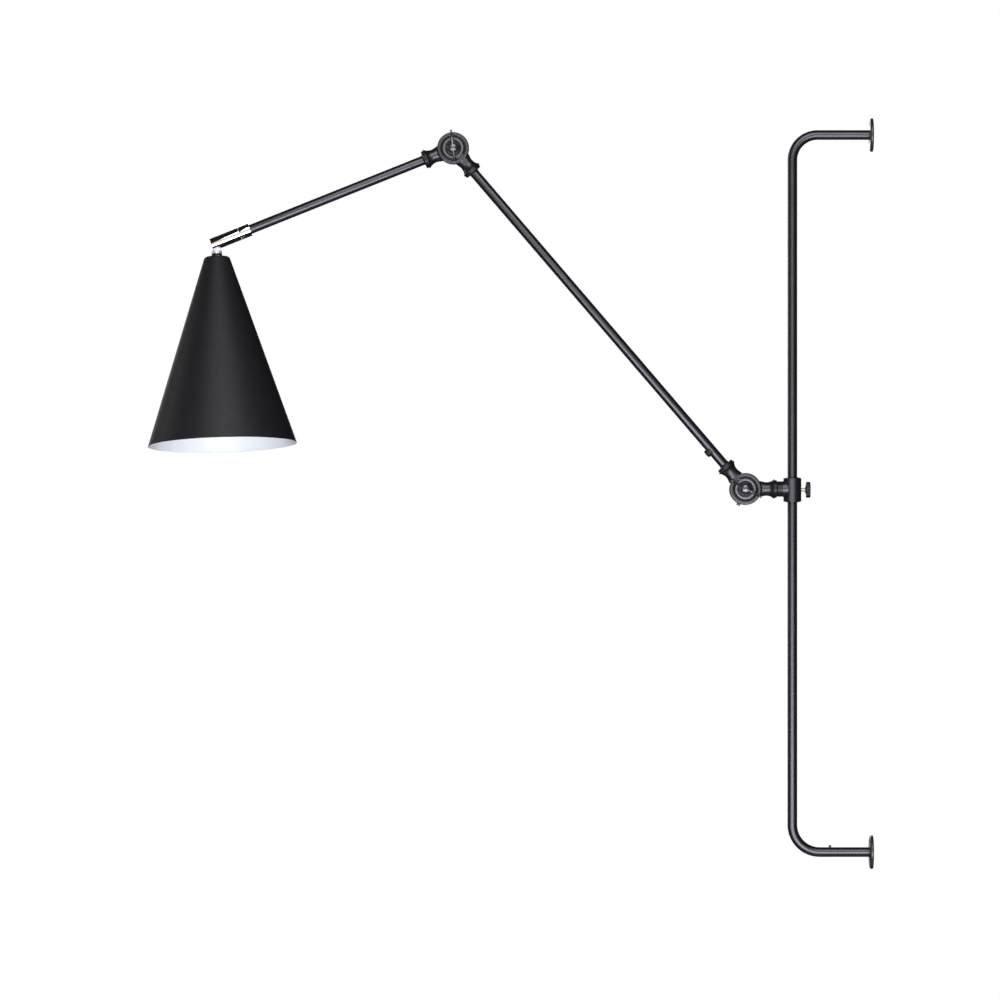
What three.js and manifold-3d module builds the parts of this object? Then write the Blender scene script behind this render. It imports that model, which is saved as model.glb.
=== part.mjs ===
// Wall lamp: a two-section swinging arm that slides and turns on a U-shaped wall rail.
// Millimetres, +Z up. The wall is the plane x = 0, and the lamp reaches away from it along -X.
// The origin is the centre of the lower wall flange's back face. The front is -Y.

import * as THREE from 'three';
import { mergeVertices } from 'three/addons/utils/BufferGeometryUtils.js';
import Module from 'manifold-3d';

const wasm = await Module();
wasm.setup();

// Fits, shared by every piece
const SEAT_GAP = 0.3; // between pieces that touch
const TURN_GAP = 0.4; // round a piece that turns inside another
const OVERRUN = 3; // how far a cutter runs past the face it opens

// Sides of round pieces, by how large they are
const SMALL_SIDES = 16;
const ROUND_SIDES = 20;
const DISC_SIDES = 28;
const SHADE_SIDES = 48;
const BEND_STEPS = 6;
const CORNER_STEPS = 3;

// Wall rail
const RAIL_SPAN = 1000; // between the axes of its two legs
const RAIL_STAND_OFF = 112.5; // wall to the axis of the upright
const PIPE_RADIUS = 6.75;
const PIPE_WALL = 1.2;
const UPPER_BEND_RADIUS = 35;
const LOWER_BEND_RADIUS = 38;

// Wall flanges
const FLANGE_RADIUS = 23.5;
const FLANGE_THICKNESS = 5.2;
const FLANGE_EDGE = 1.2;
const FLANGE_RECESS = 2;
const FIXING_CIRCLE_RADIUS = 15.2;
const FIXING_HOLE_RADIUS = 2.2;
const FIXING_SINK_RADIUS = 4;
const FIXING_SINK_DEPTH = 2.2;
const FIXING_COUNT = 3;

// Small screw on top of the lower leg
const LEG_SCREW_STAND_OFF = 60.1;
const LEG_SCREW_HEAD_RADIUS = 1.8;
const LEG_SCREW_HEAD_HEIGHT = 2.6;
const LEG_SCREW_SHANK_RADIUS = 1.1;
const LEG_SCREW_SHANK_LENGTH = 3;

// Collar on the rail, its nylon liner and its boss
const COLLAR_HEIGHT = 505.2; // above the lower leg, at rest
const COLLAR_RADIUS = 12.5;
const COLLAR_SIDE = 29.6; // height of its outer wall
const COLLAR_LENGTH = 34.4; // height at its bore, past the sloping ends
const LINER_WALL = 1.2;
const LINER_SLIT = 1.6;
const BOSS_RADIUS = 11;
const BOSS_RISE = 1.2; // the boss's axis above the collar's middle
const BOSS_GROOVE_WIDTH = 1.1;
const BOSS_GROOVE_DEPTH = 0.5;
const BOSS_GROOVE_FIRST = 14.2;
const BOSS_GROOVE_PITCH = 2.6;
const BOSS_GROOVE_COUNT = 3;

// Thumbscrew on the wall side of the collar
const THUMBSCREW_RADIUS = 2.4;
const THUMBSCREW_BARE_LENGTH = 6.5;
const KNOB_RADIUS = 11.1;
const KNOB_THICKNESS = 6;
const KNOB_EDGE = 0.8;
const KNOB_KNURLS = 24;
const KNOB_KNURL_DEPTH = 0.5;
const KNOB_SOCKET_DEPTH = 4;

// Joint discs: each joint is a front half and a rear half that turn on one bolt
const JOINT_REACH = 65.8; // axis of the upright to the shoulder joint
const DISC_RADIUS = 22.3;
const JOINT_DEPTH = 19; // both halves together
const DISC_EDGE = 1.4;
const FACE_GROOVE_INNER = 15;
const FACE_GROOVE_OUTER = 17;
const FACE_GROOVE_DEPTH = 1.4;
const FACE_DROP = 0.4; // how far the middle of the face lies below its rim
const CHAMBER_INNER = 9.5;
const CHAMBER_OUTER = 17.5;
const CHAMBER_DEPTH = 6.5;
const DISC_RUNNING_GAP = 0.6; // round a disc, where the other half's neck passes it

// Necks between a disc and its tube
const NECK_LENGTH = 44.3; // joint axis to the end face
const NECK_RADIUS = 13.75; // at the bead
const NECK_ROOT_START = 12;
const WAIST_AT = 29.3;
const WAIST_RADIUS = 9.5;
const ROOT_RADIUS = 11.2;
const SOCKET_DEPTH = 12.3;
// Outline from the waist to the end face: share of the neck length, share of the bead radius
const ARM_NECK_SHARES = [
  [0.75, 0.727], [0.81, 0.8], [0.85, 0.875], [0.885, 0.98], [0.91, 1], [0.955, 0.93], [1, 0.83],
];
const BASE_NECK_SHARES = [
  [0.76, 0.727], [0.82, 0.795], [0.865, 0.915], [0.888, 0.99], [0.9, 1], [0.93, 0.92], [1, 0.82],
];

// Stop lug on the rear half of the shoulder
const LUG_ANGLE = 246.5;
const LUG_WIDTH = 5.2;
const LUG_REACH = 25;
const LUG_DEPTH = 5;
const LUG_SINK = 3;

// Bolt, washers and wing nut of a joint
const BOLT_RADIUS = 4;
const BOLT_HEAD_RADIUS = 9;
const BOLT_HEAD_HEIGHT = 4.5;
const BOLT_NECK_LENGTH = 4;
const FRICTION_WASHER_RADIUS = 8.8;
const FRICTION_WASHER_THICKNESS = 1.2;
const PRESSURE_WASHER_RADIUS = 14.7;
const PRESSURE_WASHER_THICKNESS = 2;
const PRESSURE_WASHER_EDGE = 0.6;
const NUT_BASE_RADIUS = 10.5;
const NUT_BASE_HEIGHT = 1.5;
const NUT_TOP_RADIUS = 7.8;
const NUT_SIDE_HEIGHT = 9.5;
const NUT_DOME_HEIGHT = 3.5;
const NUT_BORE_DEPTH = 9.6;
const WING_REACH = 24.6;
const WING_HEIGHT = 21;
const WING_THICKNESS = 2;
const WING_BEVEL = 0.45;
// Outline of one wing: share of its reach, share of its height
const WING_SHARES = [
  [0.22, 0.1], [0.4, 0.12], [0.6, 0.22], [0.8, 0.4], [0.94, 0.62], [1, 0.82],
  [0.985, 0.95], [0.92, 1], [0.83, 0.95], [0.72, 0.8], [0.55, 0.64], [0.38, 0.57], [0.22, 0.55],
];
const SHOULDER_WING_TURN = 151;
const ELBOW_WING_TURN = 97;

// Arm tubes, and the directions of the arms seen from the front, anticlockwise from +X
const ARM_TUBE_RADIUS = 6.6;
const ARM_TUBE_WALL = 1.2;
const UPPER_ARM_LENGTH = 625.7; // shoulder joint to elbow joint
const UPPER_ARM_ANGLE = 130.61;
const FOREARM_LENGTH = 355.4; // elbow joint to tilt pin
const FOREARM_ANGLE = 201.8;

// Lead inside the lamp, and the bush where the supply cord would leave the upper arm
const LEAD_RADIUS = 2.3;
const LEAD_END_IN_JOINT = 12.5;
const OUTLET_AT = 71.7;
const OUTLET_TURN = 14; // out of the arm's underside, towards the front
const OUTLET_RADIUS = 5.6;
const OUTLET_HEIGHT = 9.5;
const OUTLET_FLARE_RADIUS = 6.8;
const OUTLET_FLARE_TOP = 8;
const OUTLET_BORE_RADIUS = 2.9;
const OUTLET_NECK_RADIUS = 3.9;
const OUTLET_NECK_FOOT = 5;
const OUTLET_SADDLE_FOOT = 3.5;
const OUTLET_EDGE = 0.8;

// Chrome swivel at the end of the forearm
const SWIVEL_RADIUS = 9.15;
const SLEEVE_TO_PIN = 50.9; // start of the sleeve to the tilt pin
const SLEEVE_LENGTH = 15.8;
const SLEEVE_TUBE_SEAT = 5; // how far the tube goes in
const SWIVEL_EDGE = 0.5;
const SWIVEL_END = 7.1; // tilt pin to the end of the body
const SPIGOT_RADIUS = 4;
const SWIVEL_NUT_RADIUS = 6.2;
const SWIVEL_NUT_THICKNESS = 2.9;
const SWIVEL_BORE_RADIUS = 2.7;
const SLOT_WIDTH = 6.4;
const SLOT_BEHIND_PIN = 6.9;
const NOTCH_HEIGHT = 7.1; // axis to the flat under the fork
const NOTCH_BEHIND_PIN = 1.4;
const TILT_PIN_RADIUS = 2.5;
const TILT_PIN_FRONT = 7.2; // the pin stops inside the front cheek
const TILT_PIN_REAR = 8.6;
const SWIVEL_TURN = 5.6; // turns the shade towards the front

// Tilt stem, measured from the tilt pin along the shade's axis
const TILT_ANGLE = 70.25; // from the forearm's direction to the shade's axis
const TONGUE_WIDTH = 10.5;
const STEM_COLLAR_START = 11.4;
const STEM_COLLAR_LENGTH = 3.95;
const STEM_COLLAR_RADIUS = 7.3;
const STEM_SOCKET_DEPTH = 2.8;
const NECK_RING_RADIUS = 7.4;
const NECK_RING_LENGTH = 3.4;
const NECK_RING_FOOT_RADIUS = 8.8;
const NECK_RING_FOOT_LENGTH = 1.2;

// Shade
const SHADE_HEIGHT = 263.8;
const SHADE_MOUTH_RADIUS = 103.6;
const SHADE_TOP_RADIUS = 17.3;
const SHADE_WALL = 1.2;
const SHADE_SHOULDER = 3.5;

// Lamp holder and bulb
const NIPPLE_RADIUS = 4.8;
const NIPPLE_BORE_RADIUS = 2.8;
const NIPPLE_LENGTH = 21;
const SHADE_NUT_RADIUS = 9.4;
const SHADE_NUT_THICKNESS = 4;
const CAP_TOP_RADIUS = 9;
const CAP_RADIUS = 16.4;
const CAP_LENGTH = 11.4;
const CAP_WALL = 2;
const CAP_SHOULDER = 4.5;
const HOLDER_RADIUS = 17.2;
const HOLDER_WALL = 2.3;
const HOLDER_LENGTH = 34;
const CORE_THICKNESS = 6;
const SCREW_SHELL_WALL = 0.6;
const SCREW_SHELL_LENGTH = 23;
const CONTACT_RADIUS = 3;
const CONTACT_THICKNESS = 1.8;
const BULB_CAP_RADIUS = 13.3;
const BULB_CAP_LENGTH = 25;
const BULB_CAP_WALL = 0.8;
const BULB_CAP_NOSE_RADIUS = 4.5;
const BULB_CAP_NOSE_LENGTH = 4.5;
const BULB_LENGTH = 105;
const BULB_RADIUS = 30;
const BULB_GLASS_WALL = 1;
const BULB_NECK_DEPTH = 16; // how far the glass goes into its cap

// Sizes that follow from the ones above
const HALF_DEPTH = JOINT_DEPTH / 2;
const MATING_FACE = SEAT_GAP / 2; // each half stops this far from the joint's middle plane
const PIPE_BORE = PIPE_RADIUS - PIPE_WALL;
const TUBE_BORE = ARM_TUBE_RADIUS - ARM_TUBE_WALL;
const SOCKET_FLOOR = NECK_LENGTH - SOCKET_DEPTH;
const LINER_INNER = PIPE_RADIUS + SEAT_GAP;
const LINER_OUTER = LINER_INNER + LINER_WALL;
const COLLAR_BORE = LINER_OUTER + TURN_GAP;
const BOSS_END = JOINT_REACH - NECK_LENGTH - SEAT_GAP;
const BOLT_HOLE = BOLT_RADIUS + SEAT_GAP;
const FACE_LEVEL = HALF_DEPTH - FACE_DROP;
const WASHER_LEVEL = FACE_LEVEL + SEAT_GAP;
const NUT_LEVEL = WASHER_LEVEL + PRESSURE_WASHER_THICKNESS + SEAT_GAP;
const LEAD_OFFSET = TUBE_BORE - SEAT_GAP - LEAD_RADIUS;
const SLEEVE_START = FOREARM_LENGTH - SLEEVE_TO_PIN;
const SLEEVE_END = SLEEVE_START + SLEEVE_LENGTH;
const FOREARM_TUBE_END = SLEEVE_START + SLEEVE_TUBE_SEAT;
const SWIVEL_NUT_START = FOREARM_TUBE_END + SEAT_GAP;
const SLEEVE_WEB = SWIVEL_NUT_START + SWIVEL_NUT_THICKNESS + SEAT_GAP;
const SWIVEL_START = SLEEVE_END + SEAT_GAP;
const SWIVEL_FINISH = FOREARM_LENGTH + SWIVEL_END;
const SLOT_FLOOR = FOREARM_LENGTH - SLOT_BEHIND_PIN;
const TONGUE_THICKNESS = SLOT_WIDTH - 2 * SEAT_GAP;
const STEM_END = STEM_COLLAR_START + STEM_COLLAR_LENGTH;
const NIPPLE_HOLE = NIPPLE_RADIUS + SEAT_GAP;
const NECK_RING_START = STEM_END + SEAT_GAP;
const SHADE_START = NECK_RING_START + NECK_RING_LENGTH + SEAT_GAP;
const SHADE_END = SHADE_START + SHADE_HEIGHT;
const SHADE_NUT_START = SHADE_START + SHADE_WALL + SEAT_GAP;
const CAP_START = SHADE_NUT_START + SHADE_NUT_THICKNESS + SEAT_GAP;
const NIPPLE_START = STEM_END - STEM_SOCKET_DEPTH + SEAT_GAP;
const NIPPLE_END = NIPPLE_START + NIPPLE_LENGTH;
const HOLDER_START = CAP_START + CAP_LENGTH + SEAT_GAP;
const HOLDER_BORE = HOLDER_RADIUS - HOLDER_WALL;
const CORE_END = HOLDER_START + CORE_THICKNESS;
const CONTACT_START = CORE_END + SEAT_GAP;
const BULB_START = CONTACT_START + CONTACT_THICKNESS + SEAT_GAP;
const BULB_END = BULB_START + BULB_LENGTH;
const BULB_CAP_END = BULB_START + BULB_CAP_LENGTH;
const BULB_NECK_RADIUS = BULB_CAP_RADIUS - BULB_CAP_WALL - SEAT_GAP;

// Finishes
const blackPipe = { color: 0x1c1c20, roughness: 0.45, metalness: 0.3 };
const blackCasting = { color: 0x222225, roughness: 0.4, metalness: 0.4 };
const blackKnob = { color: 0x18181a, roughness: 0.35, metalness: 0.1 };
const blackShade = { color: 0x1f1f21, roughness: 0.6, metalness: 0.2 };
const blackPlastic = { color: 0x141416, roughness: 0.5, metalness: 0 };
const greyFlange = { color: 0x4a4648, roughness: 0.4, metalness: 0.5 };
const chrome = { color: 0xe6e6e8, roughness: 0.08, metalness: 1 };
const zincSteel = { color: 0x9a9a9c, roughness: 0.35, metalness: 0.9 };
const brass = { color: 0xc9a45a, roughness: 0.3, metalness: 0.9 };
const nylon = { color: 0x2a2a2c, roughness: 0.6, metalness: 0 };
const fibre = { color: 0x6b4a34, roughness: 0.8, metalness: 0 };
const leadSheath = { color: 0x101012, roughness: 0.6, metalness: 0 };
const ceramic = { color: 0xe8e4da, roughness: 0.5, metalness: 0 };
const opalGlass = { color: 0xf6f4ee, roughness: 0.2, metalness: 0 };

// Makes a solid of a closed geometry: one vertex at each corner, no empty triangle, faces outwards.
function solidOf(geometry) {
  const bare = geometry.clone();
  bare.deleteAttribute('normal');
  bare.deleteAttribute('uv');
  const merged = mergeVertices(bare);
  const corners = merged.getIndex().array;
  const places = merged.getAttribute('position').array;
  const faces = [];
  for (let i = 0; i < corners.length; i += 3) {
    const [a, b, c] = [corners[i], corners[i + 1], corners[i + 2]];
    if (a !== b && b !== c && c !== a) faces.push([a, b, c]);
  }
  const point = (n) => new THREE.Vector3().fromArray(places, 3 * n);
  let volume = 0;
  for (const [a, b, c] of faces) volume += point(a).dot(point(b).cross(point(c)));
  const turned = volume < 0 ? faces.map(([a, b, c]) => [a, c, b]) : faces;
  return new wasm.Manifold(new wasm.Mesh({
    numProp: 3,
    vertProperties: new Float32Array(places),
    triVerts: new Uint32Array(turned.flat()),
  }));
}

// Gives a solid back as a geometry with flat faces.
function geometryOf(solid) {
  const mesh = solid.getMesh();
  const geometry = new THREE.BufferGeometry();
  geometry.setAttribute('position', new THREE.BufferAttribute(new Float32Array(mesh.vertProperties), 3));
  geometry.setIndex(new THREE.BufferAttribute(new Uint32Array(mesh.triVerts), 1));
  geometry.computeVertexNormals();
  return geometry;
}

function joined(first, ...others) {
  return others.reduce((sum, other) => sum.add(other), first);
}

function cut(first, ...cutters) {
  return cutters.reduce((rest, cutter) => rest.subtract(cutter), first);
}

// Turns an outline of [radius, height] points round Y. An outline off the axis is a closed ring.
function revolvedY(outline, sides) {
  const points = outline.map(([radius, height]) => new THREE.Vector2(radius, height));
  const touchesAxis = outline[0][0] === 0 && outline[outline.length - 1][0] === 0;
  if (!touchesAxis) points.push(points[0].clone());
  return new THREE.LatheGeometry(points, sides);
}

// The same round X, with the outline's heights along +X.
function revolvedX(outline, sides) {
  return revolvedY(outline, sides).rotateZ(-Math.PI / 2);
}

function ringX(inner, outer, start, end, sides) {
  return solidOf(revolvedX([[inner, start], [outer, start], [outer, end], [inner, end]], sides));
}

function rodX(radius, start, end, sides) {
  return solidOf(revolvedX([[0, start], [radius, start], [radius, end], [0, end]], sides));
}

function ringY(inner, outer, start, end, sides) {
  return solidOf(revolvedY([[inner, start], [outer, start], [outer, end], [inner, end]], sides));
}

function rodY(radius, start, end, sides) {
  return solidOf(revolvedY([[0, start], [radius, start], [radius, end], [0, end]], sides));
}

function rodZ(radius, start, end, sides) {
  const outline = [[0, start], [radius, start], [radius, end], [0, end]];
  return solidOf(revolvedY(outline, sides).rotateX(Math.PI / 2));
}

// A block between two corners.
function block(low, high) {
  const size = high.map((value, n) => value - low[n]);
  const middle = high.map((value, n) => (value + low[n]) / 2);
  return solidOf(new THREE.BoxGeometry(...size).translate(...middle));
}

function circlePoints(radius, sides) {
  return Array.from({ length: sides }, (_, n) => {
    const angle = (2 * Math.PI * n) / sides;
    return new THREE.Vector2(radius * Math.cos(angle), radius * Math.sin(angle));
  });
}

// Points of a quarter-like round between two outline points that share a corner.
function roundedCorner(from, corner, to) {
  const curve = new THREE.QuadraticBezierCurve(
    new THREE.Vector2(...from),
    new THREE.Vector2(...corner),
    new THREE.Vector2(...to),
  );
  return curve.getPoints(CORNER_STEPS).map((point) => [point.x, point.y]);
}

function pieceOf(name, solid, finish) {
  const geometry = geometryOf(solid);
  const mesh = new THREE.Mesh(geometry, new THREE.MeshStandardMaterial(finish));
  mesh.name = name;
  return mesh;
}

// A path with its own stations, so that a straight run takes one step and a bend takes several.
class StationPath extends THREE.Curve {
  constructor(stations) {
    super();
    this.stations = stations;
  }

  station(t) {
    return this.stations[Math.round(t * (this.stations.length - 1))];
  }

  getUtoTmapping(u) {
    return u;
  }

  getPoint(t) {
    return this.station(t).place.clone();
  }

  getTangent(t) {
    return this.station(t).heading.clone();
  }
}

// Stations round a bend in the plane y = 0, from one heading angle to another.
function bendStations(centreX, centreZ, radius, fromAngle, toAngle) {
  return Array.from({ length: BEND_STEPS + 1 }, (_, n) => {
    const angle = fromAngle + ((toAngle - fromAngle) * n) / BEND_STEPS;
    const out = new THREE.Vector3(Math.cos(angle), 0, Math.sin(angle));
    return {
      place: new THREE.Vector3(centreX, 0, centreZ).addScaledVector(out, radius),
      heading: new THREE.Vector3(out.z, 0, -out.x),
    };
  });
}

function railPipe() {
  const legStart = -(FLANGE_THICKNESS - FLANGE_RECESS) - SEAT_GAP;
  const away = new THREE.Vector3(-1, 0, 0);
  const stations = [
    { place: new THREE.Vector3(legStart, 0, 0), heading: away },
    ...bendStations(
      LOWER_BEND_RADIUS - RAIL_STAND_OFF, LOWER_BEND_RADIUS, LOWER_BEND_RADIUS,
      -Math.PI / 2, -Math.PI,
    ),
    ...bendStations(
      UPPER_BEND_RADIUS - RAIL_STAND_OFF, RAIL_SPAN - UPPER_BEND_RADIUS, UPPER_BEND_RADIUS,
      Math.PI, Math.PI / 2,
    ),
    { place: new THREE.Vector3(legStart, 0, RAIL_SPAN), heading: away.clone().negate() },
  ];
  const section = new THREE.Shape(circlePoints(PIPE_RADIUS, ROUND_SIDES));
  section.holes.push(new THREE.Path(circlePoints(PIPE_BORE, ROUND_SIDES)));
  const pipe = solidOf(new THREE.ExtrudeGeometry(section, {
    steps: stations.length - 1,
    extrudePath: new StationPath(stations),
  }));
  const screwHole = rodZ(LEG_SCREW_SHANK_RADIUS + SEAT_GAP, 0, PIPE_RADIUS + OVERRUN, SMALL_SIDES);
  return cut(pipe, screwHole.translate(-LEG_SCREW_STAND_OFF, 0, 0));
}

function wallFlange() {
  const front = FLANGE_THICKNESS;
  const outline = [
    [0, 0],
    [FLANGE_RADIUS - FLANGE_EDGE / 2, 0],
    [FLANGE_RADIUS, FLANGE_EDGE],
    [FLANGE_RADIUS, front - FLANGE_EDGE],
    [FLANGE_RADIUS - FLANGE_EDGE, front],
    [PIPE_RADIUS + SEAT_GAP, front],
    [PIPE_RADIUS + SEAT_GAP, front - FLANGE_RECESS],
    [0, front - FLANGE_RECESS],
  ];
  const plate = solidOf(revolvedX(outline, DISC_SIDES).rotateY(Math.PI));
  const holes = Array.from({ length: FIXING_COUNT }, (_, n) => {
    const hole = solidOf(revolvedX([
      [0, -OVERRUN],
      [FIXING_HOLE_RADIUS, -OVERRUN],
      [FIXING_HOLE_RADIUS, front - FIXING_SINK_DEPTH],
      [FIXING_SINK_RADIUS, front],
      [FIXING_SINK_RADIUS, front + OVERRUN],
      [0, front + OVERRUN],
    ], SMALL_SIDES).rotateY(Math.PI).translate(0, 0, FIXING_CIRCLE_RADIUS));
    return hole.rotate([(360 * n) / FIXING_COUNT, 0, 0]);
  });
  return cut(plate, ...holes);
}

function legScrew() {
  const head = rodZ(LEG_SCREW_HEAD_RADIUS, SEAT_GAP, LEG_SCREW_HEAD_HEIGHT + SEAT_GAP, SMALL_SIDES);
  const shank = rodZ(LEG_SCREW_SHANK_RADIUS, -LEG_SCREW_SHANK_LENGTH, LEG_SCREW_HEAD_HEIGHT, SMALL_SIDES);
  return joined(head, shank);
}

// The collar's axis is Z and its boss points along +X, to the shoulder joint.
function railCollar() {
  const top = COLLAR_LENGTH / 2;
  const side = COLLAR_SIDE / 2;
  const body = solidOf(revolvedY([
    [COLLAR_BORE, -top],
    [COLLAR_RADIUS, -side],
    [COLLAR_RADIUS, side],
    [COLLAR_BORE, top],
  ], DISC_SIDES).rotateX(Math.PI / 2));
  const boss = rodX(BOSS_RADIUS, COLLAR_BORE, BOSS_END, ROUND_SIDES);
  const spigotEnd = BOSS_END + SOCKET_DEPTH;
  const spigot = rodX(ARM_TUBE_RADIUS, COLLAR_BORE, spigotEnd, ROUND_SIDES);
  const grooves = Array.from({ length: BOSS_GROOVE_COUNT }, (_, n) => {
    const start = BOSS_GROOVE_FIRST + n * BOSS_GROOVE_PITCH;
    const floor = BOSS_RADIUS - BOSS_GROOVE_DEPTH;
    return ringX(floor, BOSS_RADIUS + OVERRUN, start, start + BOSS_GROOVE_WIDTH, ROUND_SIDES);
  });
  const bore = rodZ(COLLAR_BORE, -top - OVERRUN, top + OVERRUN, DISC_SIDES);
  const screwHole = rodX(
    THUMBSCREW_RADIUS + SEAT_GAP, -COLLAR_RADIUS - OVERRUN, -PIPE_RADIUS, SMALL_SIDES,
  );
  const arm = joined(cut(boss, ...grooves), spigot).translate(0, 0, BOSS_RISE);
  return cut(joined(body, arm), bore, screwHole);
}

function collarLiner() {
  const half = COLLAR_LENGTH / 2;
  const sleeve = ringY(LINER_INNER, LINER_OUTER, -half, half, DISC_SIDES);
  const slit = block(
    [LINER_INNER - OVERRUN, -half - OVERRUN, -LINER_SLIT / 2],
    [LINER_OUTER + OVERRUN, half + OVERRUN, LINER_SLIT / 2],
  );
  return cut(sleeve, slit).rotate([90, 0, 0]);
}

// Thumbscrew pieces lie along -X from the collar's axis.
const SCREW_TIP = COLLAR_BORE;
const KNOB_START = COLLAR_RADIUS + THUMBSCREW_BARE_LENGTH;

function thumbscrewShaft() {
  const end = KNOB_START + KNOB_SOCKET_DEPTH - SEAT_GAP;
  return rodX(THUMBSCREW_RADIUS, SCREW_TIP, end, SMALL_SIDES).rotate([0, 180, 0]);
}

function thumbscrewKnob() {
  const points = Array.from({ length: 2 * KNOB_KNURLS }, (_, n) => {
    const radius = KNOB_RADIUS - KNOB_EDGE - (n % 2) * KNOB_KNURL_DEPTH;
    const angle = (Math.PI * n) / KNOB_KNURLS;
    return new THREE.Vector2(radius * Math.cos(angle), radius * Math.sin(angle));
  });
  const disc = new THREE.ExtrudeGeometry(new THREE.Shape(points), {
    depth: KNOB_THICKNESS - 2 * KNOB_EDGE,
    bevelThickness: KNOB_EDGE,
    bevelSize: KNOB_EDGE,
    bevelSegments: 1,
  });
  disc.translate(0, 0, KNOB_START + KNOB_EDGE).rotateY(-Math.PI / 2);
  const socket = rodX(
    THUMBSCREW_RADIUS + SEAT_GAP, KNOB_START - OVERRUN, KNOB_START + KNOB_SOCKET_DEPTH, SMALL_SIDES,
  );
  return cut(solidOf(disc), socket.rotate([0, 180, 0]));
}

// One half of a joint with its neck. The joint's axis is Y, the neck points along +X, and this is the
// rear half, at +Y. The front half is the same casting turned over.
function rearKnuckle(neckShares, hubFace) {
  const disc = solidOf(revolvedY([
    [BOLT_HOLE, hubFace],
    [CHAMBER_INNER, hubFace],
    [CHAMBER_INNER, CHAMBER_DEPTH],
    [CHAMBER_OUTER, CHAMBER_DEPTH],
    [CHAMBER_OUTER, MATING_FACE],
    [DISC_RADIUS, MATING_FACE],
    [DISC_RADIUS, HALF_DEPTH - DISC_EDGE],
    [DISC_RADIUS - DISC_EDGE, HALF_DEPTH],
    [FACE_GROOVE_OUTER, HALF_DEPTH],
    [FACE_GROOVE_OUTER, HALF_DEPTH - FACE_GROOVE_DEPTH],
    [FACE_GROOVE_INNER, HALF_DEPTH - FACE_GROOVE_DEPTH],
    [FACE_GROOVE_INNER, FACE_LEVEL],
    [BOLT_HOLE, FACE_LEVEL],
  ], DISC_SIDES));
  const root = solidOf(revolvedX([
    [0, NECK_ROOT_START],
    [ROOT_RADIUS, NECK_ROOT_START],
    [ROOT_RADIUS, DISC_RADIUS - DISC_EDGE],
    ...roundedCorner(
      [ROOT_RADIUS, DISC_RADIUS],
      [WAIST_RADIUS, (DISC_RADIUS + WAIST_AT) / 2],
      [WAIST_RADIUS, WAIST_AT],
    ),
    [0, WAIST_AT],
  ], ROUND_SIDES));
  const slab = block(
    [0, -FACE_LEVEL, -NECK_RADIUS],
    [WAIST_AT, FACE_LEVEL, NECK_RADIUS],
  );
  const flareStart = WAIST_AT - OVERRUN;
  const flare = solidOf(revolvedX([
    [0, flareStart],
    [WAIST_RADIUS, flareStart],
    ...neckShares.map(([along, radius]) => [NECK_RADIUS * radius, NECK_LENGTH * along]),
    [0, NECK_LENGTH],
  ], ROUND_SIDES));
  const neck = joined(root.intersect(slab), flare);
  const otherHalf = rodY(DISC_RADIUS + DISC_RUNNING_GAP, -HALF_DEPTH - OVERRUN, MATING_FACE, DISC_SIDES);
  const hub = rodY(CHAMBER_OUTER, -HALF_DEPTH, CHAMBER_DEPTH, DISC_SIDES);
  const outerNeck = cut(neck, otherHalf, hub);
  const passage = rodX(TUBE_BORE, CHAMBER_INNER + SEAT_GAP, NECK_LENGTH + OVERRUN, ROUND_SIDES);
  const socket = rodX(
    ARM_TUBE_RADIUS + SEAT_GAP, SOCKET_FLOOR, NECK_LENGTH + OVERRUN, ROUND_SIDES,
  );
  const chamberRoof = rodY(DISC_RADIUS, CHAMBER_DEPTH, HALF_DEPTH + OVERRUN, DISC_SIDES);
  return cut(joined(disc, outerNeck), cut(passage, chamberRoof), socket);
}

function squareBoltHole() {
  const half = BOLT_RADIUS + SEAT_GAP;
  return block([-half, 0, -half], [half, HALF_DEPTH + OVERRUN, half]);
}

function boltedKnuckle(neckShares) {
  return cut(rearKnuckle(neckShares, MATING_FACE), squareBoltHole());
}

function frontKnuckle() {
  const hubFace = MATING_FACE + FRICTION_WASHER_THICKNESS + SEAT_GAP;
  return rearKnuckle(ARM_NECK_SHARES, hubFace).rotate([180, 0, 0]);
}

function baseKnuckle() {
  const lug = block(
    [DISC_RADIUS - LUG_SINK, (HALF_DEPTH - LUG_DEPTH) / 2, -LUG_WIDTH / 2],
    [LUG_REACH, (HALF_DEPTH + LUG_DEPTH) / 2, LUG_WIDTH / 2],
  ).rotate([0, -LUG_ANGLE, 0]);
  return joined(boltedKnuckle(BASE_NECK_SHARES), lug);
}

// The bolt's head is behind the rear half, and its end is inside the wing nut.
function jointBolt() {
  const end = -(NUT_LEVEL + NUT_BORE_DEPTH - SEAT_GAP);
  const head = solidOf(revolvedY([
    [0, WASHER_LEVEL],
    [BOLT_HEAD_RADIUS, WASHER_LEVEL],
    ...roundedCorner(
      [BOLT_HEAD_RADIUS, WASHER_LEVEL + BOLT_HEAD_HEIGHT / 3],
      [BOLT_HEAD_RADIUS * (2 / 3), WASHER_LEVEL + BOLT_HEAD_HEIGHT],
      [0, WASHER_LEVEL + BOLT_HEAD_HEIGHT],
    ),
  ], ROUND_SIDES));
  const neck = block(
    [-BOLT_RADIUS, WASHER_LEVEL - BOLT_NECK_LENGTH, -BOLT_RADIUS],
    [BOLT_RADIUS, WASHER_LEVEL + BOLT_HEAD_HEIGHT / 3, BOLT_RADIUS],
  );
  return joined(head, neck, rodY(BOLT_RADIUS, end, WASHER_LEVEL + BOLT_HEAD_HEIGHT / 3, SMALL_SIDES));
}

function frictionWasher() {
  const rear = MATING_FACE - SEAT_GAP;
  return ringY(
    BOLT_HOLE, FRICTION_WASHER_RADIUS, rear - FRICTION_WASHER_THICKNESS, rear, ROUND_SIDES,
  );
}

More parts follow.
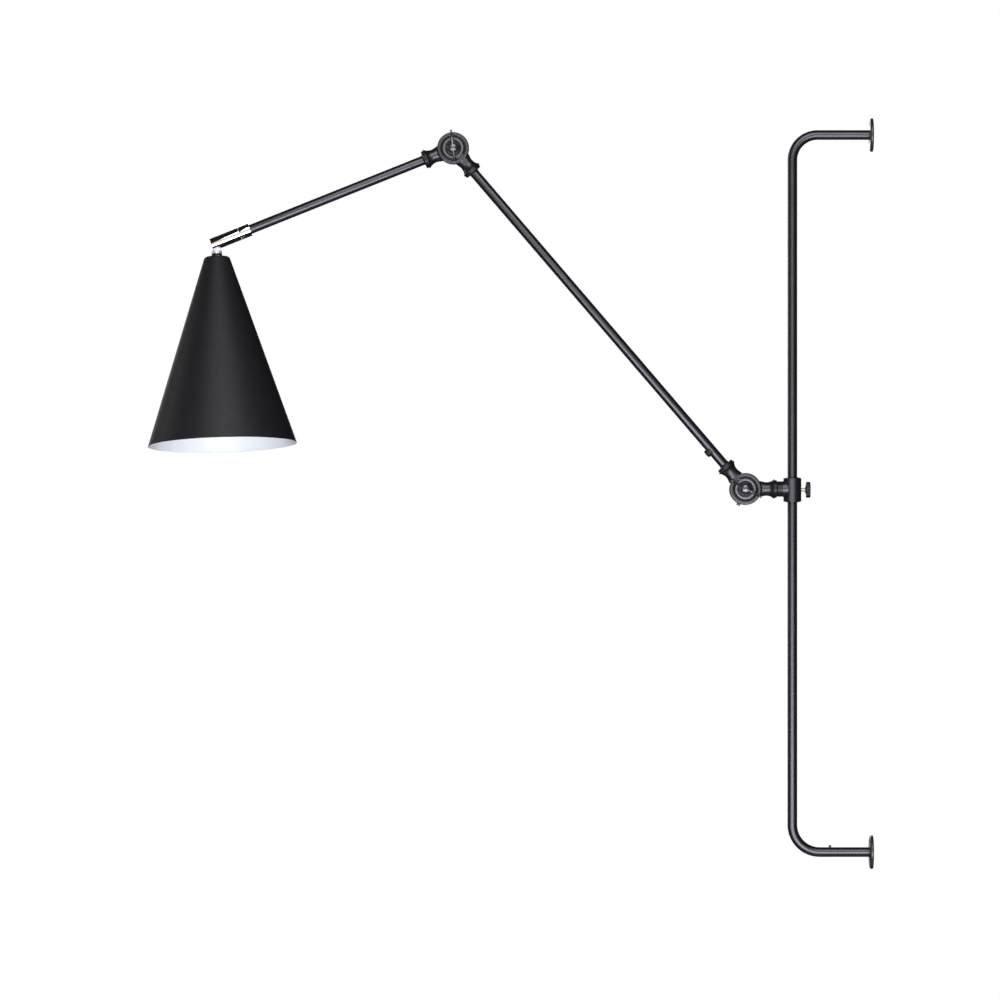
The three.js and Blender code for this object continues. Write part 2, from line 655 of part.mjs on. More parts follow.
function pressureWasher() {
  const front = -(WASHER_LEVEL + PRESSURE_WASHER_THICKNESS);
  return solidOf(revolvedY([
    [BOLT_HOLE, front],
    [PRESSURE_WASHER_RADIUS - PRESSURE_WASHER_EDGE, front],
    [PRESSURE_WASHER_RADIUS, front + PRESSURE_WASHER_EDGE],
    [PRESSURE_WASHER_RADIUS, -WASHER_LEVEL],
    [BOLT_HOLE, -WASHER_LEVEL],
  ], ROUND_SIDES));
}

// A wing nut at the front of a joint, with its wings turned from +X by an angle seen from the front.
function wingNut(turn) {
  const boss = solidOf(revolvedY([
    [0, NUT_BORE_DEPTH],
    [BOLT_HOLE, NUT_BORE_DEPTH],
    [BOLT_HOLE, 0],
    [NUT_BASE_RADIUS, 0],
    [NUT_BASE_RADIUS, NUT_BASE_HEIGHT],
    ...roundedCorner(
      [NUT_TOP_RADIUS, NUT_SIDE_HEIGHT],
      [NUT_TOP_RADIUS * (3 / 4), NUT_SIDE_HEIGHT + NUT_DOME_HEIGHT],
      [0, NUT_SIDE_HEIGHT + NUT_DOME_HEIGHT],
    ),
  ], ROUND_SIDES));
  const outline = WING_SHARES.map(([reach, height]) => new THREE.Vector2(
    reach * (WING_REACH - WING_BEVEL), height * (WING_HEIGHT - WING_BEVEL),
  ));
  const wing = solidOf(new THREE.ExtrudeGeometry(new THREE.Shape(outline), {
    depth: WING_THICKNESS,
    bevelThickness: WING_BEVEL,
    bevelSize: WING_BEVEL,
    bevelSegments: 1,
  }).translate(0, 0, -WING_THICKNESS / 2));
  const bolt = rodY(BOLT_HOLE, -OVERRUN, NUT_BORE_DEPTH, ROUND_SIDES);
  const nut = cut(joined(boss, wing, wing.rotate([0, 180, 0])), bolt);
  return nut.rotate([180, 0, 0]).rotate([0, -turn, 0]).translate(0, -NUT_LEVEL, 0);
}

// Arm pieces lie along +X from the arm's inner joint.
function upperArmTube() {
  const start = SOCKET_FLOOR + SEAT_GAP;
  const tube = ringX(TUBE_BORE, ARM_TUBE_RADIUS, start, UPPER_ARM_LENGTH - start, ROUND_SIDES);
  const hole = rodZ(OUTLET_NECK_RADIUS + SEAT_GAP, 0, ARM_TUBE_RADIUS + OVERRUN, SMALL_SIDES);
  return cut(tube, placedAtOutlet(hole));
}

function placedAtOutlet(solid) {
  return solid.rotate([OUTLET_TURN, 0, 0]).translate(OUTLET_AT, 0, 0);
}

function cordOutletBush() {
  const saddle = solidOf(revolvedY([
    [OUTLET_BORE_RADIUS, OUTLET_SADDLE_FOOT],
    [OUTLET_FLARE_RADIUS, OUTLET_SADDLE_FOOT],
    [OUTLET_RADIUS, OUTLET_FLARE_TOP],
    [OUTLET_RADIUS, OUTLET_HEIGHT - OUTLET_EDGE],
    [OUTLET_RADIUS - OUTLET_EDGE, OUTLET_HEIGHT],
    [OUTLET_BORE_RADIUS, OUTLET_HEIGHT],
  ], ROUND_SIDES).rotateX(Math.PI / 2));
  const tube = rodX(ARM_TUBE_RADIUS + SEAT_GAP, -NECK_RADIUS, NECK_RADIUS, ROUND_SIDES);
  const foot = ringY(
    OUTLET_BORE_RADIUS, OUTLET_NECK_RADIUS, OUTLET_NECK_FOOT, OUTLET_HEIGHT - OUTLET_EDGE, ROUND_SIDES,
  ).rotate([90, 0, 0]);
  return placedAtOutlet(joined(cut(saddle, tube), foot));
}

function leadIn(start, end, offset) {
  return rodX(LEAD_RADIUS, start, end, SMALL_SIDES).translate(0, offset, 0);
}

function forearmTube() {
  return ringX(TUBE_BORE, ARM_TUBE_RADIUS, SOCKET_FLOOR + SEAT_GAP, FOREARM_TUBE_END, ROUND_SIDES);
}

function swivelSleeve() {
  const tubeSeat = ARM_TUBE_RADIUS + SEAT_GAP;
  const spigotHole = SPIGOT_RADIUS + TURN_GAP;
  return solidOf(revolvedX([
    [tubeSeat, SLEEVE_START],
    [SWIVEL_RADIUS - SWIVEL_EDGE, SLEEVE_START],
    [SWIVEL_RADIUS, SLEEVE_START + SWIVEL_EDGE],
    [SWIVEL_RADIUS, SLEEVE_END - SWIVEL_EDGE],
    [SWIVEL_RADIUS - SWIVEL_EDGE, SLEEVE_END],
    [spigotHole, SLEEVE_END],
    [spigotHole, SLEEVE_WEB],
    [tubeSeat, SLEEVE_WEB],
  ], DISC_SIDES));
}

function swivelBody() {
  const bar = solidOf(revolvedX([
    [SWIVEL_BORE_RADIUS, SWIVEL_NUT_START],
    [SPIGOT_RADIUS, SWIVEL_NUT_START],
    [SPIGOT_RADIUS, SWIVEL_START],
    [SWIVEL_RADIUS - SWIVEL_EDGE, SWIVEL_START],
    [SWIVEL_RADIUS, SWIVEL_START + SWIVEL_EDGE],
    [SWIVEL_RADIUS, SWIVEL_FINISH],
    [SWIVEL_BORE_RADIUS, SWIVEL_FINISH],
  ], DISC_SIDES));
  const wide = SWIVEL_RADIUS + OVERRUN;
  const past = SWIVEL_FINISH + OVERRUN;
  const slot = block([SLOT_FLOOR, -SLOT_WIDTH / 2, -wide], [past, SLOT_WIDTH / 2, wide]);
  const notch = block([FOREARM_LENGTH - NOTCH_BEHIND_PIN, -wide, NOTCH_HEIGHT], [past, wide, wide]);
  const pinHole = rodY(TILT_PIN_RADIUS + SEAT_GAP, -TILT_PIN_FRONT - SEAT_GAP, wide, SMALL_SIDES);
  return cut(bar, slot, notch, pinHole.translate(FOREARM_LENGTH, 0, 0));
}

function swivelNut() {
  const end = SWIVEL_NUT_START + SWIVEL_NUT_THICKNESS;
  return ringX(SPIGOT_RADIUS + SEAT_GAP, SWIVEL_NUT_RADIUS, SWIVEL_NUT_START, end, ROUND_SIDES);
}

function tiltPin() {
  return rodY(TILT_PIN_RADIUS, -TILT_PIN_FRONT, TILT_PIN_REAR, SMALL_SIDES).translate(FOREARM_LENGTH, 0, 0);
}

// Pieces of the shade lie along +X from the tilt pin.
function tiltStem() {
  const half = TONGUE_WIDTH / 2;
  const side = TONGUE_THICKNESS / 2;
  const eye = rodY(half, -side, side, ROUND_SIDES);
  const tongue = block([0, -side, -half], [STEM_COLLAR_START + STEM_COLLAR_LENGTH / 4, side, half]);
  const collar = rodX(STEM_COLLAR_RADIUS, STEM_COLLAR_START, STEM_END, ROUND_SIDES);
  const pinHole = rodY(TILT_PIN_RADIUS + SEAT_GAP, -side - OVERRUN, side + OVERRUN, SMALL_SIDES);
  const socket = rodX(NIPPLE_HOLE, STEM_END - STEM_SOCKET_DEPTH, STEM_END + OVERRUN, ROUND_SIDES);
  return cut(joined(eye, tongue, collar), pinHole, socket);
}

function neckRing() {
  const end = NECK_RING_START + NECK_RING_LENGTH;
  return solidOf(revolvedX([
    [NIPPLE_HOLE, NECK_RING_START],
    [NECK_RING_RADIUS, NECK_RING_START],
    [NECK_RING_RADIUS, end - NECK_RING_FOOT_LENGTH],
    [NECK_RING_FOOT_RADIUS, end],
    [NIPPLE_HOLE, end],
  ], ROUND_SIDES));
}

const SHADE_SLOPE = (SHADE_MOUTH_RADIUS - SHADE_TOP_RADIUS) / SHADE_HEIGHT;

function shade() {
  const wallAcross = SHADE_WALL * Math.hypot(1, SHADE_SLOPE);
  const innerStart = SHADE_START + SHADE_WALL;
  const innerTop = SHADE_TOP_RADIUS + SHADE_SLOPE * SHADE_WALL - wallAcross;
  const innerShoulder = SHADE_SHOULDER - SHADE_WALL;
  return solidOf(revolvedX([
    [NIPPLE_HOLE, SHADE_START],
    ...roundedCorner(
      [SHADE_TOP_RADIUS - SHADE_SHOULDER, SHADE_START],
      [SHADE_TOP_RADIUS, SHADE_START],
      [SHADE_TOP_RADIUS + SHADE_SLOPE * SHADE_SHOULDER, SHADE_START + SHADE_SHOULDER],
    ),
    [SHADE_MOUTH_RADIUS, SHADE_END],
    [SHADE_MOUTH_RADIUS - wallAcross, SHADE_END],
    ...roundedCorner(
      [innerTop + SHADE_SLOPE * innerShoulder, innerStart + innerShoulder],
      [innerTop, innerStart],
      [innerTop - innerShoulder, innerStart],
    ),
    [NIPPLE_HOLE, innerStart],
  ], SHADE_SIDES));
}

function holderNipple() {
  return ringX(NIPPLE_BORE_RADIUS, NIPPLE_RADIUS, NIPPLE_START, NIPPLE_END, ROUND_SIDES);
}

function shadeNut() {
  const end = SHADE_NUT_START + SHADE_NUT_THICKNESS;
  const hexagon = rodX(SHADE_NUT_RADIUS, SHADE_NUT_START, end, 6);
  const bore = rodX(NIPPLE_HOLE, SHADE_NUT_START - OVERRUN, end + OVERRUN, ROUND_SIDES);
  return cut(hexagon, bore);
}

function holderCap() {
  const end = CAP_START + CAP_LENGTH;
  return solidOf(revolvedX([
    [NIPPLE_HOLE, CAP_START],
    [CAP_TOP_RADIUS, CAP_START],
    [CAP_RADIUS, CAP_START + CAP_SHOULDER],
    [CAP_RADIUS, end],
    [CAP_RADIUS - CAP_WALL, end],
    [CAP_RADIUS - CAP_WALL, CAP_START + CAP_SHOULDER],
    [CAP_TOP_RADIUS - CAP_WALL / 2, CAP_START + CAP_WALL],
    [NIPPLE_HOLE, CAP_START + CAP_WALL],
  ], ROUND_SIDES));
}

function holderShell() {
  return ringX(HOLDER_BORE, HOLDER_RADIUS, HOLDER_START, HOLDER_START + HOLDER_LENGTH, ROUND_SIDES);
}

function holderCore() {
  return rodX(HOLDER_BORE - SEAT_GAP, HOLDER_START, CORE_END, ROUND_SIDES);
}

function screwShell() {
  const outer = HOLDER_BORE - SEAT_GAP;
  const start = CORE_END + SEAT_GAP;
  return ringX(outer - SCREW_SHELL_WALL, outer, start, start + SCREW_SHELL_LENGTH, ROUND_SIDES);
}

function centreContact() {
  return rodX(CONTACT_RADIUS, CONTACT_START, CONTACT_START + CONTACT_THICKNESS, SMALL_SIDES);
}

function bulbCap() {
  const shoulder = BULB_START + BULB_CAP_NOSE_LENGTH;
  const floor = BULB_CAP_END - BULB_NECK_DEPTH - SEAT_GAP;
  return solidOf(revolvedX([
    [0, BULB_START],
    [BULB_CAP_NOSE_RADIUS, BULB_START],
    [BULB_CAP_RADIUS, shoulder],
    [BULB_CAP_RADIUS, BULB_CAP_END],
    [BULB_CAP_RADIUS - BULB_CAP_WALL, BULB_CAP_END],
    [BULB_CAP_RADIUS - BULB_CAP_WALL, floor],
    [0, floor],
  ], ROUND_SIDES));
}

// Outline of the glass from its neck to its crown, drawn in by an amount for the inner face.
function glassOutline(inset) {
  const neckStart = BULB_CAP_END - BULB_NECK_DEPTH;
  const middle = BULB_END - BULB_RADIUS;
  const side = new THREE.CubicBezierCurve(
    new THREE.Vector2(BULB_NECK_RADIUS - inset, BULB_CAP_END),
    new THREE.Vector2(BULB_NECK_RADIUS - inset, (BULB_CAP_END + middle) / 2),
    new THREE.Vector2(BULB_RADIUS - inset, middle - BULB_RADIUS / 2),
    new THREE.Vector2(BULB_RADIUS - inset, middle),
  ).getPoints(2 * CORNER_STEPS);
  const crown = Array.from({ length: 2 * CORNER_STEPS }, (_, n) => {
    const angle = (Math.PI / 2) * ((n + 1) / (2 * CORNER_STEPS));
    const radius = BULB_RADIUS - inset;
    return [n + 1 === 2 * CORNER_STEPS ? 0 : radius * Math.cos(angle), middle + radius * Math.sin(angle)];
  });
  return [[BULB_NECK_RADIUS - inset, neckStart], ...side.map((point) => [point.x, point.y]), ...crown];
}

function bulbGlass() {
  const inner = glassOutline(BULB_GLASS_WALL).reverse();
  return solidOf(revolvedX([...inner, ...glassOutline(0)], ROUND_SIDES));
}

// The tree of frames: each group carries what moves with it
const lamp = new THREE.Group();
const collarFrame = new THREE.Group();
const shoulderFrame = new THREE.Group();
const upperArmFrame = new THREE.Group();
const elbowFrame = new THREE.Group();
const forearmFrame = new THREE.Group();
const swivelFrame = new THREE.Group();
const shadeFrame = new THREE.Group();

function radians(degrees) {
  return THREE.MathUtils.degToRad(degrees);
}

// The collar's frame points from the upright to the shoulder, with its +X along the lamp's -X.
collarFrame.position.set(-RAIL_STAND_OFF, 0, COLLAR_HEIGHT);
collarFrame.rotation.z = Math.PI;
shoulderFrame.position.set(-RAIL_STAND_OFF - JOINT_REACH, 0, COLLAR_HEIGHT + BOSS_RISE);
upperArmFrame.rotation.y = -radians(UPPER_ARM_ANGLE);
elbowFrame.position.set(
  UPPER_ARM_LENGTH * Math.cos(radians(UPPER_ARM_ANGLE)),
  0,
  UPPER_ARM_LENGTH * Math.sin(radians(UPPER_ARM_ANGLE)),
);
forearmFrame.rotation.y = -radians(FOREARM_ANGLE);
swivelFrame.rotation.x = radians(SWIVEL_TURN);
shadeFrame.position.set(FOREARM_LENGTH, 0, 0);
shadeFrame.rotation.y = -radians(TILT_ANGLE);

const upperFlange = pieceOf('wall_flange_upper', wallFlange(), greyFlange);
upperFlange.position.z = RAIL_SPAN;
const screw = pieceOf('leg_screw', legScrew(), blackCasting);
screw.position.set(-LEG_SCREW_STAND_OFF, 0, PIPE_RADIUS);
const upperKnuckle = pieceOf('upper_knuckle', frontKnuckle(), blackCasting);
upperKnuckle.position.x = UPPER_ARM_LENGTH;
upperKnuckle.rotation.y = Math.PI;

lamp.add(
  pieceOf('rail_pipe', railPipe(), blackPipe),
  pieceOf('wall_flange_lower', wallFlange(), greyFlange),
  upperFlange,
  screw,
  collarFrame,
  shoulderFrame,
);
collarFrame.add(
  pieceOf('collar_liner', collarLiner(), nylon),
  pieceOf('rail_collar', railCollar(), blackCasting),
  pieceOf('thumbscrew_shaft', thumbscrewShaft(), brass),
  pieceOf('thumbscrew_knob', thumbscrewKnob(), blackKnob),
);
shoulderFrame.add(
  pieceOf('base_knuckle', baseKnuckle(), blackCasting),
  pieceOf('shoulder_bolt', jointBolt(), blackCasting),
  pieceOf('shoulder_friction_washer', frictionWasher(), fibre),
  pieceOf('shoulder_pressure_washer', pressureWasher(), blackCasting),
  pieceOf('shoulder_wing_nut', wingNut(SHOULDER_WING_TURN), blackKnob),
  upperArmFrame,
  elbowFrame,
);
upperArmFrame.add(
  pieceOf('lower_knuckle', frontKnuckle(), blackCasting),
  pieceOf('upper_arm_tube', upperArmTube(), blackPipe),
  upperKnuckle,
  pieceOf('cord_outlet_bush', cordOutletBush(), blackPlastic),
  pieceOf(
    'upper_arm_lead',
    leadIn(OUTLET_AT + OUTLET_RADIUS + SEAT_GAP, UPPER_ARM_LENGTH - LEAD_END_IN_JOINT, -LEAD_OFFSET),
    leadSheath,
  ),
);
elbowFrame.add(
  pieceOf('elbow_friction_washer', frictionWasher(), fibre),
  pieceOf('elbow_pressure_washer', pressureWasher(), blackCasting),
  pieceOf('elbow_wing_nut', wingNut(ELBOW_WING_TURN), blackKnob),
  forearmFrame,
);
forearmFrame.add(
  pieceOf('forearm_knuckle', boltedKnuckle(ARM_NECK_SHARES), blackCasting),
  pieceOf('elbow_bolt', jointBolt(), blackCasting),
  pieceOf('forearm_tube', forearmTube(), blackPipe),
  pieceOf('swivel_sleeve', swivelSleeve(), chrome),
  pieceOf(
    'forearm_lead',
    leadIn(LEAD_END_IN_JOINT, FOREARM_TUBE_END - SEAT_GAP, LEAD_OFFSET),
    leadSheath,
  ),
  swivelFrame,
);
swivelFrame.add(
  pieceOf('swivel_body', swivelBody(), chrome),
  pieceOf('swivel_nut', swivelNut(), zincSteel),
  pieceOf('tilt_pin', tiltPin(), chrome),
  pieceOf('swivel_lead', leadIn(SWIVEL_NUT_START + SEAT_GAP, SLOT_FLOOR - SEAT_GAP, 0), leadSheath),
  shadeFrame,
);
shadeFrame.add(
  pieceOf('tilt_stem', tiltStem(), chrome),
  pieceOf('neck_ring', neckRing(), blackPlastic),
  pieceOf('shade', shade(), blackShade),
  pieceOf('holder_nipple', holderNipple(), zincSteel),
  pieceOf('shade_nut', shadeNut(), zincSteel),
  pieceOf('holder_cap', holderCap(), blackPlastic),
  pieceOf('holder_core', holderCore(), ceramic),
  pieceOf('holder_shell', holderShell(), blackPlastic),
  pieceOf('screw_shell', screwShell(), brass),
  pieceOf('centre_contact', centreContact(), brass),
  pieceOf('bulb_cap', bulbCap(), zincSteel),
  pieceOf('bulb_glass', bulbGlass(), opalGlass),
  pieceOf('holder_lead', leadIn(NIPPLE_START + SEAT_GAP, NIPPLE_END, 0), leadSheath),
);

export default lamp;
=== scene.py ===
# Wall lamp: a two-section swinging arm on a sliding rail clamp, dressed for rendering.
# Pieces are modelled in millimetres, in the frame of the part that carries them, and then placed in
# metres.

import math
from types import SimpleNamespace

import bmesh
import bpy
from mathutils import Matrix, Vector


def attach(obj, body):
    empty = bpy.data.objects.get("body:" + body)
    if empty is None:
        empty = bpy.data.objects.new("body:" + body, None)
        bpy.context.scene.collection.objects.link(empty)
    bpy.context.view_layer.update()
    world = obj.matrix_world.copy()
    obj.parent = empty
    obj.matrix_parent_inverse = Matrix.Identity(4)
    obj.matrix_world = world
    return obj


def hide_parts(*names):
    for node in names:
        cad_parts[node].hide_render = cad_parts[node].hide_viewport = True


bl_info = {
    "name": "Swing-arm wall lamp",
    "version": (1, 0, 0),
    "blender": (4, 5, 0),
    "location": "3D View > Sidebar > Wall lamp",
    "description": "Builds a rail-mounted swing-arm wall lamp round its packed frame",
    "category": "Object",
}

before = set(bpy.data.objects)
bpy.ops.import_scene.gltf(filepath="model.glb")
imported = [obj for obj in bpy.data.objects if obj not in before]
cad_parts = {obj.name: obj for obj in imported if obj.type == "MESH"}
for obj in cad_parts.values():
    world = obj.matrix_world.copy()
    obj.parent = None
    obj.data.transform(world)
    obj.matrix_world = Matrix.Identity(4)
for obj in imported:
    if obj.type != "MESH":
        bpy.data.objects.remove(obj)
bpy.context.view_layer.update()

MM = 0.001
SMOOTH_LIMIT = math.radians(38)
# a plate's rims are softened where its faces meet at more than this
RIM_ANGLE = 1.4
CORNER_STEPS = 4
# sides of a thin turned form, and of a wide or bright one
ROUND = 64
WIDE = 112
# how far a cutting form goes past what it cuts
PAST = 3


def linear(hex_colour):
    """Turns an sRGB hex colour to the linear values that the shaders take."""
    parts = [int(hex_colour[n : n + 2], 16) / 255 for n in (1, 3, 5)]
    return tuple(p / 12.92 if p <= 0.04045 else ((p + 0.055) / 1.055) ** 2.4 for p in parts)


def length(label, about, millimetres, least=0):
    return bpy.props.FloatProperty(
        name=label, description=about, default=millimetres * MM, min=least * MM, unit="LENGTH",
        precision=5,
    )


def angle(label, about, degrees):
    return bpy.props.FloatProperty(
        name=label, description=about, default=math.radians(degrees), subtype="ANGLE",
        unit="ROTATION",
    )


def share(label, about, value):
    return bpy.props.FloatProperty(
        name=label, description=about, default=value, min=0, max=1, subtype="FACTOR"
    )


def colour(label, about, hex_colour):
    return bpy.props.FloatVectorProperty(
        name=label, description=about, default=linear(hex_colour), size=3, min=0, max=1,
        subtype="COLOR",
    )


class RailSizes(bpy.types.PropertyGroup):
    """Sizes of the wall rail"""

    span: length("Span", "Between the axes of the rail's two legs", 1000)
    stand_off: length("Stand-off", "From the wall to the axis of the upright", 112.5)
    pipe_radius: length("Tube radius", "Outside radius of the rail tube", 6.75)
    lower_bend: length("Lower bend", "Radius of the lower bend at the tube's axis", 38)
    upper_bend: length("Upper bend", "Radius of the upper bend at the tube's axis", 35)
    leg_start: length("Leg start", "From the wall to the end of each leg, inside its flange", 3.5)
    flange_radius: length("Flange radius", "Radius of a wall flange", 23.5)
    flange_thickness: length("Flange thickness", "Thickness of a wall flange", 5.2)
    flange_recess: length("Flange recess", "How far the tube goes into its flange", 2)
    fixing_circle: length("Fixing circle", "Radius on which the fixing holes lie", 15.2)
    fixing_hole: length("Fixing hole", "Radius of a fixing hole", 2.2)
    fixing_sink: length("Countersink", "Radius of the countersink at a fixing hole", 4)
    screw_stand_off: length("Leg screw place", "From the wall to the lower leg's screw", 60.1)
    screw_radius: length("Leg screw radius", "Radius of the small screw's head", 1.8)
    screw_height: length("Leg screw height", "Height of the small screw's head", 2.6)


class CollarSizes(bpy.types.PropertyGroup):
    """Sizes of the sliding collar and its thumbscrew"""

    height: length("Height", "Height of the collar's middle above the lower leg, at rest", 505.2)
    radius: length("Radius", "Outside radius of the collar", 12.5)
    side: length("Side height", "Height of the collar's outer wall", 32.4)
    length: length("Full height", "Height of the collar at its bore", 34.4)
    bore: length("Bore radius", "Radius of the collar's bore", 8.65)
    liner_inner: length("Liner inside", "Inside radius of the nylon liner", 7.05)
    liner_outer: length("Liner outside", "Outside radius of the nylon liner", 8.25)
    boss_radius: length("Boss radius", "Radius of the boss that carries the arm", 11)
    boss_end: length("Boss end", "From the upright's axis to the end of the boss", 21.2)
    spigot: length("Spigot", "How far the boss's spigot goes into the shoulder's neck", 12.3)
    boss_rise: length("Boss rise", "Height of the boss's axis above the collar's middle", 1.2)
    stem_radius: length("Screw radius", "Radius of the thumbscrew's brass stem", 2.4)
    thread_pitch: length("Thread pitch", "Pitch of the thumbscrew's thread", 1)
    grip_start: length("Grip start", "From the upright's axis to the thumbscrew's grip", 19)
    grip_radius: length("Grip radius", "Radius of the knurled grip", 11.1)
    grip_thickness: length("Grip thickness", "Thickness of the knurled grip", 6)


class JointSizes(bpy.types.PropertyGroup):
    """Sizes of the two bolted joints"""

    reach: length("Reach", "From the upright's axis to the shoulder joint", 65.8)
    disc_radius: length("Disc radius", "Radius of a joint's discs", 22.3)
    half_depth: length("Disc depth", "Depth of one disc, from the joint's middle plane", 9.5)
    mating_face: length("Mating face", "From the joint's middle plane to a disc's inner face", 0.15)
    groove_inner: length("Groove inside", "Inner radius of the groove in a disc's face", 14.8)
    groove_outer: length("Groove outside", "Outer radius of the groove in a disc's face", 17.6)
    groove_depth: length("Groove depth", "Depth of the groove in a disc's face", 2.4)
    neck_length: length("Neck length", "From the joint's axis to the end of its neck", 44.3)
    bead_radius: length("Bead radius", "Radius of a neck's bead", 13.75)
    waist_radius: length("Waist radius", "Radius of a neck's waist", 9.5)
    root_radius: length("Root radius", "Radius of a neck where it leaves its disc", 11.2)
    lug_reach: length("Stop lug reach", "From the shoulder's axis to the end of its stop lug", 25)
    lug_width: length("Stop lug width", "Width of the stop lug", 5.2)
    lug_turn: angle("Stop lug turn", "Direction of the stop lug, seen from the front", 246.5)
    bolt_radius: length("Bolt radius", "Radius of a joint's bolt", 4)
    bolt_head: length("Bolt head", "Radius of a bolt's head", 9)
    washer_radius: length("Washer radius", "Radius of the washer under a wing nut", 14.7)
    washer_thickness: length("Washer thickness", "Thickness of the washer under a wing nut", 2)
    voxel: length("Casting grain", "Grid on which the castings' edges are rounded", 0.36)


class WingNutSizes(bpy.types.PropertyGroup):
    """Sizes of the wing nuts"""

    base_radius: length("Base radius", "Radius of a wing nut's foot", 10.5)
    top_radius: length("Top radius", "Radius of a wing nut's dome", 7.8)
    side_height: length("Side height", "Height of a wing nut's side", 9.5)
    dome_height: length("Dome height", "Height of a wing nut's dome", 3.5)
    reach: length("Wing reach", "From the axis to the tip of a wing", 24.6)
    height: length("Wing height", "Height of a wing above the nut's foot", 21)
    thickness: length("Wing thickness", "Thickness of a wing", 2.9)
    shoulder_turn: angle("Shoulder turn", "Turn of the shoulder's wings, seen from the front", 151)
    elbow_turn: angle("Elbow turn", "Turn of the elbow's wings, seen from the front", 97)


class ArmSizes(bpy.types.PropertyGroup):
    """Sizes of the arm tubes and of the cord outlet"""

    tube_radius: length("Tube radius", "Outside radius of an arm tube", 6.6)
    tube_wall: length("Tube wall", "Wall of an arm tube", 1.2)
    tube_start: length("Tube start", "From a joint's axis to the end of the tube in its neck", 32.3)
    upper_length: length("Upper arm", "Shoulder joint to elbow joint", 625.7)
    upper_angle: angle("Upper arm angle", "Direction of the upper arm, seen from the front", 130.61)
    forearm_length: length("Forearm", "Elbow joint to tilt pin", 355.4)
    forearm_angle: angle("Forearm angle", "Direction of the forearm, seen from the front", 201.8)
    outlet_at: length("Outlet place", "From the shoulder joint to the cord outlet", 71.7)
    outlet_turn: angle("Outlet turn", "Turn of the outlet from the arm's underside", 14)
    outlet_radius: length("Outlet radius", "Radius of the cord outlet", 5.6)
    outlet_height: length("Outlet height", "Height of the cord outlet above the tube's axis", 9.5)


class SwivelSizes(bpy.types.PropertyGroup):
    """Sizes of the chrome swivel and stem"""

    radius: length("Radius", "Radius of the swivel", 9.15)
    sleeve_start: length("Sleeve start", "From the elbow joint to the start of the sleeve", 304.5)
    sleeve_length: length("Sleeve length", "Length of the sleeve", 15.8)
    end: length("Fork end", "From the tilt pin to the end of the fork", 7.1)
    slot_width: length("Slot width", "Width of the fork's slot", 6.4)
    slot_behind: length("Slot depth", "How far the slot goes behind the pin", 6.9)
    pin_radius: length("Pin radius", "Radius of the tilt pin", 2.5)
    turn: angle("Swivel turn", "Turn of the shade towards the front", 5.6)
    tilt: angle("Tilt", "From the forearm's direction to the shade's axis", 70.25)
    tongue_width: length("Tongue width", "Width of the stem's tongue", 10.5)
    stem_collar: length("Stem collar", "Radius of the stem's collar", 7.3)
    ring_radius: length("Ring radius", "Radius of the ring on top of the shade", 7.4)


class ShadeSizes(bpy.types.PropertyGroup):
    """Sizes of the shade, the lamp holder and the bulb, along the shade's axis from the tilt pin"""

    start: length("Shade top", "From the tilt pin to the top of the shade", 19.35)
    height: length("Shade height", "Height of the shade", 263.8)
    mouth: length("Mouth radius", "Radius of the shade's mouth", 103.6)
    top: length("Top radius", "Radius of the shade's top", 17.3)
    wall: length("Shade wall", "Thickness of the shade", 1.2)
    shoulder: length("Shoulder", "Rounding of the shade's top", 3.5)
    cap_start: length("Holder start", "From the tilt pin to the lamp holder", 25.15)
    holder_radius: length("Holder radius", "Radius of the lamp holder", 17.2)
    holder_length: length("Holder length", "Length of the lamp holder's shell", 34)
    bulb_start: length("Bulb start", "From the tilt pin to the bulb's contact", 45.25)
    bulb_length: length("Bulb length", "Length of the bulb", 105)
    bulb_radius: length("Bulb radius", "Radius of the bulb's glass", 30)


class FinishColours(bpy.types.PropertyGroup):
    """Colours of the finishes"""

    tube_black: colour("Tube black", "Satin powder coat on the tubes", "#131316")
    casting_grey: colour("Casting black", "Blackening on the joint castings", "#4b4b50")
    nut_black: colour("Nut black", "Black nickel on the wing nuts", "#64646a")
    washer_grey: colour("Washer grey", "Rubbed steel of the washers under the wing nuts", "#68686c")
    grip_black: colour("Grip black", "Black oxide on the thumbscrew's grip", "#2c2c30")
    shade_black: colour("Shade black", "Matt powder coat outside the shade", "#18181b")
    shade_white: colour("Shade white", "Enamel inside the shade", "#f8fafd")
    flange_grey: colour("Flange grey", "Satin paint on the wall flanges", "#46413e")
    chrome: colour("Chrome", "Chrome plate of the swivel", "#dfe0e3")
    brass: colour("Brass", "Turned brass of the thumbscrew", "#d8ceb0")
    plastic_black: colour("Moulding black", "Black mouldings", "#161618")
    nylon: colour("Nylon", "Liner of the collar", "#2b2b2d")
    opal: colour("Opal", "Glass of the bulb", "#f4f2ec")


class StageSettings(bpy.types.PropertyGroup):
    """The floor, the lights and the camera"""

    floor_colour: colour("Floor", "Colour of the plain floor", "#e9e9ea")
    floor_drop: length("Floor drop", "From the lower leg down to the floor", 3400)
    floor_radius: length("Floor radius", "Radius of the plain floor", 1000)
    room: share("Room light", "Level of the light from all round", 0.016)
    backdrop: angle("Backdrop", "Half angle at which metal and glass see the white backdrop", 14)
    key: bpy.props.FloatProperty(
        name="Front light", description="Brightness of the soft boxes in front", default=4.2, min=0
    )
    middle_x: length("Middle, across", "Middle of the picture, from the wall", -520.2, least=-5000)
    middle_z: length("Middle, up", "Middle of the picture, above the lower leg", 491)
    camera_distance: length("Camera distance", "From the camera to the plane of the arms", 7531)
    lens: bpy.props.FloatProperty(
        name="Lens", description="Focal length on a 36 mm sensor", default=194.4, min=1,
        unit="CAMERA",
    )


